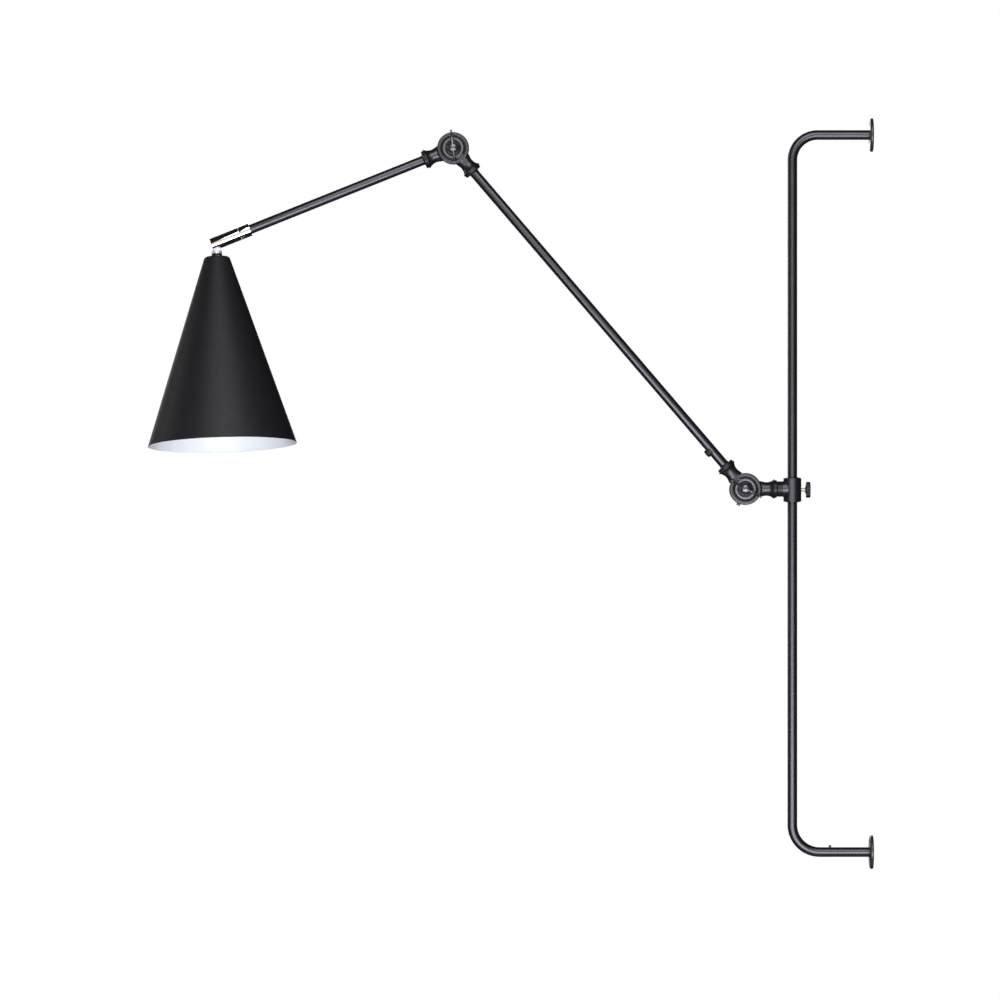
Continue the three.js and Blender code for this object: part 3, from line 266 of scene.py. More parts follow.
GROUPS = {
    "rail": RailSizes,
    "collar": CollarSizes,
    "joint": JointSizes,
    "wing_nut": WingNutSizes,
    "arm": ArmSizes,
    "swivel": SwivelSizes,
    "shade": ShadeSizes,
    "finish": FinishColours,
    "stage": StageSettings,
}


def settings(name):
    return getattr(bpy.context.scene, "wall_lamp_" + name)


def in_mm(name):
    """A group's lengths in millimetres, in which the pieces are modelled. Its angles stay."""
    group = settings(name)
    kinds = group.bl_rna.properties
    return SimpleNamespace(
        **{
            key: getattr(group, key) / MM if kinds[key].unit == "LENGTH" else getattr(group, key)
            for key in type(group).__annotations__
        }
    )


# Places of the frames that carry the pieces, in millimetres


def turn(angle_value, axis):
    return Matrix.Rotation(angle_value, 4, axis)


def move(x=0, y=0, z=0):
    return Matrix.Translation((x, y, z))


def places():
    """The lamp's frames at rest: each points +X along what it carries, and the front is -Y."""
    rail, collar, joint = in_mm("rail"), in_mm("collar"), in_mm("joint")
    arm, swivel = in_mm("arm"), in_mm("swivel")
    at_collar = move(-rail.stand_off, 0, collar.height) @ turn(math.pi, "Z")
    shoulder = move(-rail.stand_off - joint.reach, 0, collar.height + collar.boss_rise)
    upper_arm = shoulder @ turn(-arm.upper_angle, "Y")
    elbow = move(*(upper_arm @ Vector((arm.upper_length, 0, 0))))
    forearm = elbow @ turn(-arm.forearm_angle, "Y")
    head = forearm @ turn(swivel.turn, "X")
    shade = head @ move(arm.forearm_length) @ turn(-swivel.tilt, "Y")
    return SimpleNamespace(
        rail=Matrix(), collar=at_collar, shoulder=shoulder, upper_arm=upper_arm,
        arm_end=upper_arm @ move(arm.upper_length) @ turn(math.pi, "Y"),
        elbow=elbow, forearm=forearm, head=head, shade=shade,
    )


# Forms

AXES = {"X": Matrix(), "Y": turn(math.pi / 2, "Z"), "Z": turn(-math.pi / 2, "Y")}


def eased(form, geom, reach, steps, kind):
    """Rounds vertices or edges, by a rounding that reaches this far along their faces."""
    bmesh.ops.bevel(
        form, geom=geom, offset=reach, offset_type="OFFSET", segments=steps, profile=0.5,
        affect=kind, material=-1, clamp_overlap=True,
    )


def rounded(form, corners, outline):
    """Rounds the corners that give a third number, which is how far the rounding reaches."""
    for reach in sorted({corner[2] for corner in outline if len(corner) > 2}):
        chosen = [v for v, corner in zip(corners, outline) if corner[2:] == (reach,)]
        eased(form, chosen, reach, CORNER_STEPS, "VERTICES")


def ordered(form):
    """The same form, its corners and faces in order of place, so that each run gives the same."""
    verts = sorted(form.verts, key=lambda vert: vert.co[:])
    rank = {vert: n for n, vert in enumerate(verts)}
    rings = []
    for face in form.faces:
        ring = [rank[vert] for vert in face.verts]
        first = ring.index(min(ring))
        rings.append(ring[first:] + ring[:first])
    result = bmesh.new()
    corners = [result.verts.new(vert.co) for vert in verts]
    for ring in sorted(rings):
        result.faces.new([corners[n] for n in ring])
    result.normal_update()
    form.free()
    return result


def cleaned(form):
    bmesh.ops.remove_doubles(form, verts=form.verts[:], dist=1e-3)
    bmesh.ops.recalc_face_normals(form, faces=form.faces[:])
    return ordered(form)


def placed(form, place):
    bmesh.ops.transform(form, matrix=place, verts=form.verts[:])
    return form


def drawn(form, outline):
    """Draws an open line through corners of (radius, along), as a profile to sweep round X."""
    corners = [form.verts.new((corner[1], corner[0], 0)) for corner in outline]
    for first, second in zip(corners, corners[1:]):
        form.edges.new((first, second))
    return corners


def swept(form, geom, by, steps, centre=(0, 0, 0), axis=(1, 0, 0), advance=0, merge=False):
    """Sweeps a profile round an axis by an angle, and on along X if it advances at each step."""
    return bmesh.ops.spin(
        form, geom=geom, cent=centre, axis=axis, dvec=(advance, 0, 0), angle=by, steps=steps,
        use_merge=merge, use_normal_flip=False, use_duplicate=False,
    )["geom_last"]


def turned(outline, sides=ROUND, axis="X", closed=False):
    """Turns corners of (radius, along, rounding) round an axis. A closed outline makes a ring."""
    form = bmesh.new()
    corners = drawn(form, outline)
    if closed:
        form.edges.new((corners[-1], corners[0]))
    rounded(form, corners, outline)
    swept(form, form.verts[:] + form.edges[:], 2 * math.pi, sides, merge=True)
    return placed(cleaned(form), AXES[axis])


def rod(radius, start, end, sides=ROUND, axis="X"):
    return turned([(0, start), (radius, start), (radius, end), (0, end)], sides, axis)


def pipe(inner, outer, start, end, sides=ROUND, axis="X", rounding=0.3):
    corners = (inner, start), (outer, start), (outer, end), (inner, end)
    return turned([(*corner, rounding) for corner in corners], sides, axis, closed=True)


def fluted(form, count, depth, amount, power=1):
    """Presses flutes along X into a form. amount(along, out) is a point's share of the depth."""
    for vert in form.verts:
        out = math.hypot(vert.co.y, vert.co.z)
        wave = 0.5 - 0.5 * math.cos(count * math.atan2(vert.co.z, vert.co.y))
        vert.co.yz = vert.co.yz * (1 - depth * amount(vert.co.x, out) * wave ** power / out)


def plate(outline, depth, soft):
    """Thickens a flat outline of (x, z, rounding) corners along Y, with softened edges."""
    form = bmesh.new()
    corners = [form.verts.new((corner[0], -depth / 2, corner[1])) for corner in outline]
    form.faces.new(corners)
    rounded(form, corners, outline)
    grown = bmesh.ops.extrude_face_region(form, geom=form.faces[:])["geom"]
    lifted = [g for g in grown if isinstance(g, bmesh.types.BMVert)]
    bmesh.ops.translate(form, vec=(0, depth, 0), verts=lifted)
    bmesh.ops.recalc_face_normals(form, faces=form.faces[:])
    rims = [e for e in form.edges if e.is_manifold and e.calc_face_angle() > RIM_ANGLE]
    eased(form, rims, soft, 3, "EDGES")
    return form


def box(low, high):
    form = bmesh.new()
    size = [b - a for a, b in zip(low, high)]
    middle = [(a + b) / 2 for a, b in zip(low, high)]
    bmesh.ops.create_cube(form, size=1, matrix=move(*middle) @ Matrix.Diagonal((*size, 1)))
    return form


def in_scene(name, data):
    thing = bpy.data.objects.new(name, data)
    bpy.context.scene.collection.objects.link(thing)
    return thing


def mesh_object(form, name="scratch"):
    mesh = bpy.data.meshes.new(name)
    form.to_mesh(mesh)
    form.free()
    return in_scene(name, mesh)


def evaluated(thing, *helpers):
    """The form of an object with its modifiers on. The object and its helpers are then removed."""
    bpy.context.view_layer.update()
    result = thing.evaluated_get(bpy.context.evaluated_depsgraph_get())
    form = bmesh.new()
    form.from_mesh(result.to_mesh())
    result.to_mesh_clear()
    for used in (thing, *helpers):
        mesh = used.data
        bpy.data.objects.remove(used)
        bpy.data.meshes.remove(mesh)
    return form


def carved(form, **steps):
    """Joins, trims or cuts closed forms: union=[...], then difference=[...]."""
    thing, helpers = mesh_object(form), []
    for operation, others in steps.items():
        for other in others:
            helper = mesh_object(other)
            helpers.append(helper)
            modifier = thing.modifiers.new("carve", "BOOLEAN")
            modifier.operation = operation.upper()
            modifier.solver = "EXACT"
            modifier.object = helper
    # a boolean gives its corners and faces in an order that varies
    return cleaned(ordered(evaluated(thing, *helpers)))


def cast(form, voxel, passes=4):
    """Rounds every edge a little, as sand and lacquer leave it: a fine remesh, then a smoothing."""
    thing = mesh_object(form)
    remesh = thing.modifiers.new("grain", "REMESH")
    remesh.mode = "VOXEL"
    remesh.voxel_size = voxel
    smooth = thing.modifiers.new("ease", "SMOOTH")
    smooth.factor = 0.5
    smooth.iterations = passes
    return evaluated(thing)


def piece(name, form, place, body, nodes, *kinds):
    """Writes a form to a piece in metres that rides on a body and stands for its CAD nodes.

    kinds are its finishes.
    """
    if not form.faces:
        raise RuntimeError(name + " came out empty")
    placed(form, Matrix.Scale(MM, 4) @ place)
    for face in form.faces:
        face.smooth = True
    for edge in form.edges:
        edge.smooth = not edge.is_manifold or edge.calc_face_angle() < SMOOTH_LIMIT
    thing = mesh_object(form, name)
    for kind in kinds:
        thing.data.materials.append(finish(kind))
    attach(thing, body)
    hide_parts(*nodes)
    return thing


def soften(thing, width=0.15, limit=40):
    """A small round on a piece's hard edges."""
    modifier = thing.modifiers.new("softened edges", "BEVEL")
    modifier.width = width * MM
    modifier.segments = 2
    modifier.limit_method = "ANGLE"
    modifier.angle_limit = math.radians(limit)
    modifier.harden_normals = True
    return thing


# Materials


def add(tree, kind, inputs=None, **options):
    """Adds a node with its options, and fills its sockets with values or links."""
    node = tree.nodes.new(kind)
    for key, value in options.items():
        setattr(node, key, value)
    for key, value in (inputs or {}).items():
        if isinstance(value, bpy.types.NodeSocket):
            tree.links.new(value, node.inputs[key])
        else:
            node.inputs[key].default_value = value
    return node


def per(millimetres):
    """Texture scale at which a pattern's features come this far apart."""
    return 1 / (millimetres * MM)


def shaded(value, amount):
    return tuple(min(1, channel * amount) for channel in value[:3]) + (1,)


def surface(
    name, base, amounts, roughness, grain, depth, cloud=45, wear=None, worn=(0.54, 0.66, 0.55),
    stretch=None, **sockets
):
    """A finish in real sizes: clouds of colour, uneven gloss, fine relief, and wear and painted
    sheen on edges.

    amounts are the darkest and lightest shares of the base colour, roughness the least and most.
    grain is the spacing of the relief and depth its height, both in millimetres, and stretch scales
    the grain along X, Y and Z. The edge colour is painted on sharp edges, partly as wear and partly
    as a painted sheen and highlight. The three numbers after it say how sharp an edge starts to
    show it, how sharp one shows the most, and how much that is.
    """
    known = bpy.data.materials.get(name)
    if known:
        return known
    material = bpy.data.materials.new(name)
    material.use_nodes = True
    tree = material.node_tree
    tree.nodes.clear()
    at = add(tree, "ShaderNodeTexCoord").outputs["Object"]
    clouds = add(
        tree, "ShaderNodeTexNoise", {"Vector": at, "Scale": per(cloud), "Detail": 3.0}
    ).outputs["Fac"]
    tone = add(
        tree, "ShaderNodeMix",
        {0: clouds, 6: shaded(base, amounts[0]), 7: shaded(base, amounts[1])}, data_type="RGBA",
    ).outputs[2]
    # sharp edges, found by pointiness, are painted towards the edge colour: partly wear, partly
    # painted sheen and highlight
    if wear is not None:
        edge = add(
            tree, "ShaderNodeMapRange",
            {"Value": add(tree, "ShaderNodeNewGeometry").outputs["Pointiness"], "From Min": worn[0],
             "From Max": worn[1], "To Max": worn[2]},
        )
        wear_and_sheen_share = add(
            tree, "ShaderNodeMath", {0: edge.outputs[0], 1: clouds}, operation="MULTIPLY"
        ).outputs[0]
        tone = add(
            tree, "ShaderNodeMix", {0: wear_and_sheen_share, 6: tone, 7: (*wear[:3], 1)}, data_type="RGBA"
        ).outputs[2]
    where = at
    if stretch:
        where = add(tree, "ShaderNodeMapping", {"Vector": at, "Scale": stretch}).outputs[0]
    fine = add(
        tree, "ShaderNodeTexNoise",
        {"Vector": where, "Scale": per(grain), "Detail": 2.0, "Roughness": 0.55},
    )
    patches = add(
        tree, "ShaderNodeTexNoise", {"Vector": at, "Scale": per(grain * 7), "Detail": 2.0}
    )
    gloss = add(
        tree, "ShaderNodeMapRange",
        {"Value": patches.outputs["Fac"], "From Min": 0.3, "From Max": 0.7,
         "To Min": roughness[0], "To Max": roughness[1]},
    )
    relief = add(
        tree, "ShaderNodeBump",
        {"Height": fine.outputs["Fac"], "Strength": 1.0, "Distance": depth * MM},
    )
    shader = add(
        tree, "ShaderNodeBsdfPrincipled",
        {"Base Color": tone, "Roughness": gloss.outputs[0], "Normal": relief.outputs[0], **sockets},
    )
    add(tree, "ShaderNodeOutputMaterial", {"Surface": shader.outputs[0]})
    return material


# After the name of each finish: its slot, its colour, the darkest and lightest shares of that
# colour, the least and most roughness, the spacing and depth of its grain in millimetres, and what
# else surface() takes. A colour in quotes is one of the finish settings. The real grain of the
# satin coats and castings is a few tenths of a millimetre, too fine to show in the picture, so it
# is drawn as 2.5 or 3.
FINISHES = {
    # powder baked on drawn steel tube: deep black, a soft highlight and a faint orange peel
    "satin_powder_coat_on_steel": (
        "satin_black", "tube_black", (0.88, 1.12), (0.3, 0.36), 3, 0.01,
        {"Specular IOR Level": 1.0, "Specular Tint": (0.9, 0.89, 1.0, 1.0)},
    ),
    # chemically blackened and lacquered iron castings: a dark metallic satin, with sharp edges
    # painted paler, partly as wear and partly as a painted sheen
    "blackened_lacquered_cast_iron": (
        "cast_black", "casting_grey", (0.88, 1.1), (0.32, 0.4), 3, 0.006,
        {"wear": linear("#8f8f92"), "Metallic": 0.9},
    ),
    # black nickel on die-cast zinc: dark and bright, with small sharp highlights, and a pale colour
    # painted on sharp edges, partly as wear and mostly as painted highlights on the wings
    "black_nickel_on_die_cast_zinc": (
        "gloss_black_metal", "nut_black", (0.88, 1.12), (0.27, 0.34), 3, 0.005,
        {"wear": linear("#c9c2b6"), "worn": (0.515, 0.56, 1.2), "Metallic": 0.9},
    ),
    # blackened steel washer that a nut has rubbed bright: mid grey, with a soft sheen
    "rubbed_blackened_steel": (
        "cast_black", "washer_grey", (0.88, 1.08), (0.3, 0.38), 2.5, 0.003, {"Metallic": 0.9},
    ),
    # black oxide on knurled steel: nearly black, with the knurls' crests painted paler, partly as
    # wear and partly as painted glints
    "black_oxide_on_knurled_steel": (
        "gloss_black_metal", "grip_black", (0.85, 1.15), (0.26, 0.36), 0.8, 0.006,
        {"wear": linear("#77777a"), "Metallic": 0.85},
    ),
    # blackened steel screw: an oily, slightly uneven black
    "blackened_steel_screw": (
        "cast_black", linear("#3b3b3e"), (0.8, 1.1), (0.3, 0.42), 0.6, 0.005,
        {"cloud": 3, "Metallic": 0.8},
    ),
    # pressed aluminium of a bulb's screw cap: soft grey, drawn a little rough
    "pressed_aluminium_cap": (
        "bulb_cap_metal", linear("#b4b4b2"), (0.85, 1.03), (0.3, 0.42), 0.6, 0.006,
        {"cloud": 5, "Metallic": 1.0},
    ),
    # fine-textured powder on spun aluminium: matt black with a wide, weak sheen
    "matt_powder_coat_on_spun_aluminium": (
        "matt_black", "shade_black", (0.92, 1.08), (0.5, 0.58), 0.9, 0.012,
        {"Specular IOR Level": 0.35},
    ),
    # sprayed reflector enamel: clean white, half gloss, very slightly uneven
    "sprayed_white_reflector_enamel": (
        "matt_black", "shade_white", (0.985, 1.0), (0.34, 0.42), 1.8, 0.012, {},
    ),
    # satin paint over a turned steel rose: warm grey, glossier than the tubes
    "satin_paint_on_turned_steel": (
        "flange_grey", "flange_grey", (0.88, 1.12), (0.28, 0.36), 3, 0.01,
        {"wear": linear("#8b8683"), "Metallic": 0.5},
    ),
    # bright chrome over polished brass: mirrors the room, with hair-fine polishing marks
    "bright_chrome_plate": (
        "chrome", "chrome", (0.97, 1.0), (0.045, 0.085), 0.5, 0.0004,
        {"stretch": (0.15, 1, 1), "Metallic": 1.0},
    ),
    # lathe-turned brass, unlacquered: warm yellow, a little brown in patches, fine turning rings
    "turned_brass": (
        "brass", "brass", (0.84, 1.05), (0.2, 0.34), 0.35, 0.004,
        {"cloud": 4, "stretch": (4, 0.3, 0.3), "Metallic": 1.0},
    ),
    # blasted and lacquered aluminium: as pale as the chrome, but soft, even and a little milky
    "blasted_lacquered_aluminium": (
        "chrome", linear("#eef0f2"), (0.96, 1.0), (0.36, 0.44), 0.8, 0.002, {"Metallic": 0.55},
    ),
    # bright zinc on steel: pale grey, slightly frosted and uneven
    "zinc_plated_steel": (
        None, linear("#a3a5a8"), (0.8, 1.05), (0.28, 0.42), 0.8, 0.006,
        {"cloud": 3, "Metallic": 1.0},
    ),
    # moulded nylon: black, a little waxy, with a mould's fine, even grain
    "moulded_black_nylon": (
        "black_plastic", "plastic_black", (0.92, 1.08), (0.42, 0.52), 0.7, 0.008, {"cloud": 12},
    ),
    # the nylon of the collar's liner: dark grey, dry and dull
    "moulded_nylon": ("nylon", "nylon", (0.92, 1.08), (0.45, 0.58), 0.7, 0.008, {"cloud": 12}),
    # compression-moulded phenolic: black, harder and glossier than the nylon
    "black_phenolic_moulding": (
        "black_plastic", "plastic_black", (0.92, 1.08), (0.26, 0.34), 1.3, 0.006, {"cloud": 12},
    ),
    # PVC sheath of the leads: black, smooth and slightly waxy
    "extruded_pvc_sheath": (
        None, linear("#121214"), (0.92, 1.08), (0.4, 0.5), 1.2, 0.01, {"cloud": 12},
    ),
    # opal-coated bulb glass: an even white that glows a little from within
    "opal_glass": (
        "opal_glass", "opal", (0.985, 1.0), (0.14, 0.2), 6, 0.004,
        {"Subsurface Weight": 0.3, "Subsurface Scale": 0.004, "Coat Weight": 0.5,
         "Coat Roughness": 0.05},
    ),
    # red fibre of the friction washers: pressed rag and resin, dull and slightly mottled
    "vulcanised_fibre": (
        None, linear("#6f4a35"), (0.8, 1.15), (0.62, 0.75), 0.5, 0.012, {"cloud": 2},
    ),
    # glazed steatite of the lamp holder's core: off-white and shiny, with a soft unevenness
    "glazed_steatite": (
        None, linear("#e6e1d6"), (0.95, 1.0), (0.18, 0.3), 2.5, 0.015, {"cloud": 6},
    ),
}


def finish(kind):
    """The material of one of the finishes."""
    base, amounts, roughness, grain, depth, more = FINISHES[kind][1:]
    if isinstance(base, str):
        base = getattr(settings("finish"), base)
    return surface(kind, base, amounts, roughness, grain, depth, **more)


def seamless_paper():
    """Seamless paper: even, pale and matt. The camera sees it nearly as white as the backdrop."""
    paper = surface(
        "seamless_paper", settings("stage").floor_colour, (0.99, 1.0), (0.85, 0.95), 3, 0.01,
        cloud=400,
    )
    tree = paper.node_tree
    parts = {node.type: node for node in tree.nodes}
    path = add(tree, "ShaderNodeLightPath")
    toward_white = add(
        tree, "ShaderNodeMath", {0: path.outputs["Is Camera Ray"], 1: 0.85}, operation="MULTIPLY"
    )
    white = add(tree, "ShaderNodeEmission", {"Strength": 1.0})
    seen = add(
        tree, "ShaderNodeMixShader",
        {0: toward_white.outputs[0], 1: parts["BSDF_PRINCIPLED"].outputs[0], 2: white.outputs[0]},
    )
    tree.links.new(seen.outputs[0], parts["OUTPUT_MATERIAL"].inputs["Surface"])
    return paper


class PieceOperator:
    """What the operators share: each is one step to undo"""

    bl_options = {"REGISTER", "UNDO"}


class LAMP_OT_rail_tube(PieceOperator, bpy.types.Operator):
    """Bends the rail's tube from one leg over the upright to the other"""

    bl_idname = "wall_lamp.rail_tube"
    bl_label = "Rail tube"

    def execute(self, context):
        s = in_mm("rail")
        form = bmesh.new()
        bmesh.ops.create_circle(form, cap_ends=False, segments=ROUND, radius=s.pipe_radius)
        placed(form, move(-s.leg_start) @ turn(math.pi / 2, "Y"))
        ring = form.edges[:]

        def run(edges, vector):
            grown = bmesh.ops.extrude_edge_only(form, edges=edges)["geom"]
            verts = {g for g in grown if isinstance(g, bmesh.types.BMVert)}
            bmesh.ops.translate(form, vec=vector, verts=list(verts))
            return [g for g in grown if isinstance(g, bmesh.types.BMEdge) and verts >= set(g.verts)]

        def bend(edges, centre):
            verts = list(dict.fromkeys(v for e in edges for v in e.verts))
            last = swept(form, verts + edges, math.pi / 2, 24, centre, (0, 1, 0))
            return [g for g in last if isinstance(g, bmesh.types.BMEdge)]

        leg = s.stand_off - s.leg_start
        ring = run(ring, (s.lower_bend - leg, 0, 0))
        ring = bend(ring, (s.lower_bend - s.stand_off, 0, s.lower_bend))
        ring = run(ring, (0, 0, s.span - s.lower_bend - s.upper_bend))
        ring = bend(ring, (s.upper_bend - s.stand_off, 0, s.span - s.upper_bend))
        run(ring, (leg - s.upper_bend, 0, 0))
        bmesh.ops.holes_fill(form, edges=[e for e in form.edges if e.is_boundary], sides=0)
        piece("rail_tube", cleaned(form), Matrix(), "rail", ["rail_pipe"],
              "satin_powder_coat_on_steel")
        return {"FINISHED"}


class LAMP_OT_wall_flanges(PieceOperator, bpy.types.Operator):
    """Turns the two wall flanges, with their countersunk fixing holes"""

    bl_idname = "wall_lamp.wall_flanges"
    bl_label = "Wall flanges"

    def execute(self, context):
        s = in_mm("rail")
        front, seat, past = s.flange_thickness, s.pipe_radius + 0.3, 1
        floor, sink, edge = front - s.flange_recess, s.fixing_sink + 0.3, 0.86 * front
        for name, node, height in (
            ("lower_wall_rose", "wall_flange_lower", 0),
            ("upper_wall_rose", "wall_flange_upper", s.span),
        ):
            form = turned([
                (0, 0), (s.flange_radius, 0, 1.4), (s.flange_radius, edge, 2.1),
                (s.flange_radius - 5, front, 1.5), (seat + 1.4, front, 0.6),
                (seat, front - 0.5, 0.2), (seat, floor), (0, floor),
            ], WIDE)
            hole = [
                (0, -past), (s.fixing_hole, -past), (s.fixing_hole, front - 2.2),
                (s.fixing_sink, front - 0.2), (sink, front + 0.1), (sink, front + past),
                (0, front + past),
            ]
            spots = [turn(-2 * math.pi * n / 3, "X") @ move(z=s.fixing_circle) for n in range(3)]
            form = carved(form, difference=[placed(turned(hole, 40), spot) for spot in spots])
            placed(form, move(0, 0, height) @ Matrix.Scale(-1, 4, (1, 0, 0)))
            bmesh.ops.reverse_faces(form, faces=form.faces[:])
            piece(name, form, Matrix(), "rail", [node], "satin_paint_on_turned_steel")
        return {"FINISHED"}


class LAMP_OT_leg_screw(PieceOperator, bpy.types.Operator):
    """Makes the small slotted screw on the lower leg"""

    bl_idname = "wall_lamp.leg_screw"
    bl_label = "Leg screw"

    def execute(self, context):
        s = in_mm("rail")
        radius, shank, sunk, foot = s.screw_radius, 1.1, 3, 0.3
        top, slot_depth, slot_half = foot + s.screw_height, 0.9, 0.3
        form = turned([
            (0, -sunk), (shank, -sunk), (shank, foot), (radius, foot, 0.2),
            (radius, top - 0.2, 0.7), (radius / 2, top, 0.5), (0, top),
        ], 40, "Z")
        slot = box((-radius - 1, -slot_half, top - slot_depth), (radius + 1, slot_half, top + 1))
        form = carved(form, difference=[slot])
        place = move(-s.screw_stand_off, 0, s.pipe_radius)
        piece("leg_screw_head", form, place, "rail", ["leg_screw"], "blackened_steel_screw")
        return {"FINISHED"}


class LAMP_OT_collar(PieceOperator, bpy.types.Operator):
    """Casts the sliding collar with its boss, and its nylon liner"""

    bl_idname = "wall_lamp.collar"
    bl_label = "Collar and liner"

    def execute(self, context):
        s, arm, joint = in_mm("collar"), in_mm("arm"), in_mm("joint")
        place = places().collar
        half, side = s.length / 2, s.side / 2
        body = turned([
            (2, -half), (s.bore + 0.6, -half), (s.radius, -side), (s.radius, side),
            (s.bore + 0.6, half), (2, half),
        ], WIDE, "Z", closed=True)
        # plain turned grooves round the boss: their count, first place, spacing and depth
        grooves, first, pitch, cut, root = 3, 14.2, 2.6, 0.7, 3
        ridges = []
        for n in range(grooves):
            start = first + pitch * n
            ridges += [
                (s.boss_radius, start), (s.boss_radius - cut, start + 0.25),
                (s.boss_radius - cut, start + 0.95), (s.boss_radius, start + 1.2),
            ]
        boss = turned([
            (0, root), (s.boss_radius, root), *ridges, (s.boss_radius, s.boss_end, 0.7),
            (0, s.boss_end),
        ], WIDE)
        spigot = rod(arm.tube_radius, root, s.boss_end + s.spigot)
        rise = move(0, 0, s.boss_rise)
        bore = rod(s.bore, -half - PAST, half + PAST, WIDE, "Z")
        screw_hole = rod(s.stem_radius + 0.3, -s.radius - PAST, -s.bore + 1, 40)
        form = carved(
            body, union=[placed(boss, rise), placed(spigot, rise)], difference=[bore, screw_hole]
        )
        piece("collar_casting", cast(form, joint.voxel * 0.9, 1), place, "carrier", ["rail_collar"],
              "blackened_lacquered_cast_iron")
        end = half + 0.25
        liner = pipe(s.liner_inner, s.liner_outer, -end, end, WIDE, "Z")
        # the liner is slit along one side, so that it springs over the rail
        slit = box(
            (s.liner_inner - PAST, -0.8, -half - PAST), (s.liner_outer + PAST, 0.8, half + PAST)
        )
        piece("collar_nylon_liner", carved(liner, difference=[slit]), place, "slide_bush",
              ["collar_liner"], "moulded_nylon")
        return {"FINISHED"}


class LAMP_OT_thumbscrew(PieceOperator, bpy.types.Operator):
    """Makes the threaded brass stem and the knurled grip of the thumbscrew"""

    bl_idname = "wall_lamp.thumbscrew"
    bl_label = "Thumbscrew"

    def execute(self, context):
        s = in_mm("collar")
        place = places().collar @ turn(math.pi, "Z")
        form = bmesh.new()
        root, crest, pitch = s.stem_radius - 0.4, s.stem_radius, s.thread_pitch
        drawn(form, [(root, 0), (crest, 0.4 * pitch), (crest, 0.6 * pitch), (root, pitch)])
        turns, steps = int((s.grip_start + 3 - s.bore) / pitch), 40
        swept(
            form, form.verts[:] + form.edges[:], 2 * math.pi * turns, steps * turns,
            advance=pitch / steps,
        )
        bmesh.ops.remove_doubles(form, verts=form.verts[:], dist=1e-3)
        bmesh.ops.holes_fill(form, edges=[e for e in form.edges if e.is_boundary], sides=0)
        bmesh.ops.recalc_face_normals(form, faces=form.faces[:])
        piece("thumbscrew_brass_stem", form, place @ move(s.bore + 0.1), "thumbscrew",
              ["thumbscrew_shaft"], "turned_brass")
        inner, edge, thick = s.stem_radius + 0.1, s.grip_radius, s.grip_thickness
        knurls, rim = 24, 1.5
        grip = turned([
            (inner, -1.3), (4.5, -1.3, 0.4), (4.8, 0.7, 0.3), (7.9, 0.7, 0.3), (8.4, 0, 0.4),
            (edge, 0, 0.8), (edge, thick, 0.8), (8.4, thick, 0.4), (7.9, thick - 0.7, 0.3),
            (inner, thick - 0.7),
        ], knurls * 8, closed=True)
        fluted(grip, knurls, 0.5, lambda along, out: max(0, (out - edge + rim) / rim), power=2)
        piece("thumbscrew_grip", grip, place @ move(s.grip_start), "thumbscrew",
              ["thumbscrew_knob"], "black_oxide_on_knurled_steel")
        return {"FINISHED"}


def knuckle(neck, lug=False):
    """The rear half of a joint: a faced disc, and a turned neck let into it.

    The neck is flattened towards the disc, so that its root stays below the disc's face.
    """
    s, arm = in_mm("joint"), in_mm("arm")
    depth, face, mate = s.half_depth, s.half_depth - 0.4, s.mating_face
    bore, root, start, waist = s.bolt_radius + 0.3, s.root_radius, 12, 27
    groove = (s.groove_outer + s.groove_inner) / 2
    disc = turned([
        (bore, mate), (s.disc_radius, mate), (s.disc_radius, depth - 0.1, 1.6),
        (s.groove_outer, depth, 0.5), (groove, depth - s.groove_depth, 0.7),
        (s.groove_inner, face, 0.4), (bore, face),
    ], WIDE, "Y", closed=True)
    form = turned([
        (0, start), (root, start), (root, s.disc_radius - 1.2, 1), (s.waist_radius, waist, 3),
        *neck, (0, s.neck_length + 1.2),
    ], 96)
    round_from, fade = waist + 2, 10
    for vert in form.verts:
        near = min(1, max(0, (round_from - vert.co.x) / fade))
        vert.co.y *= 1 - (1 - face / root) * near * near * (3 - 2 * near)
    form = carved(form, difference=[
        rod(s.disc_radius + 0.6, -depth - 5, mate, WIDE, "Y"),
        rod(s.groove_inner - 2, -depth, face + 1, WIDE, "Y"),
    ])
    others = [form]
    if lug:
        half = s.lug_width / 2
        stop = box((s.disc_radius - 3, 2.25, -half), (s.lug_reach, 7.25, half))
        others.append(placed(stop, turn(-s.lug_turn, "Y")))
    socket = rod(arm.tube_radius + 0.05, 32, s.neck_length + 5)
    return cast(carved(disc, union=others, difference=[socket]), s.voxel)


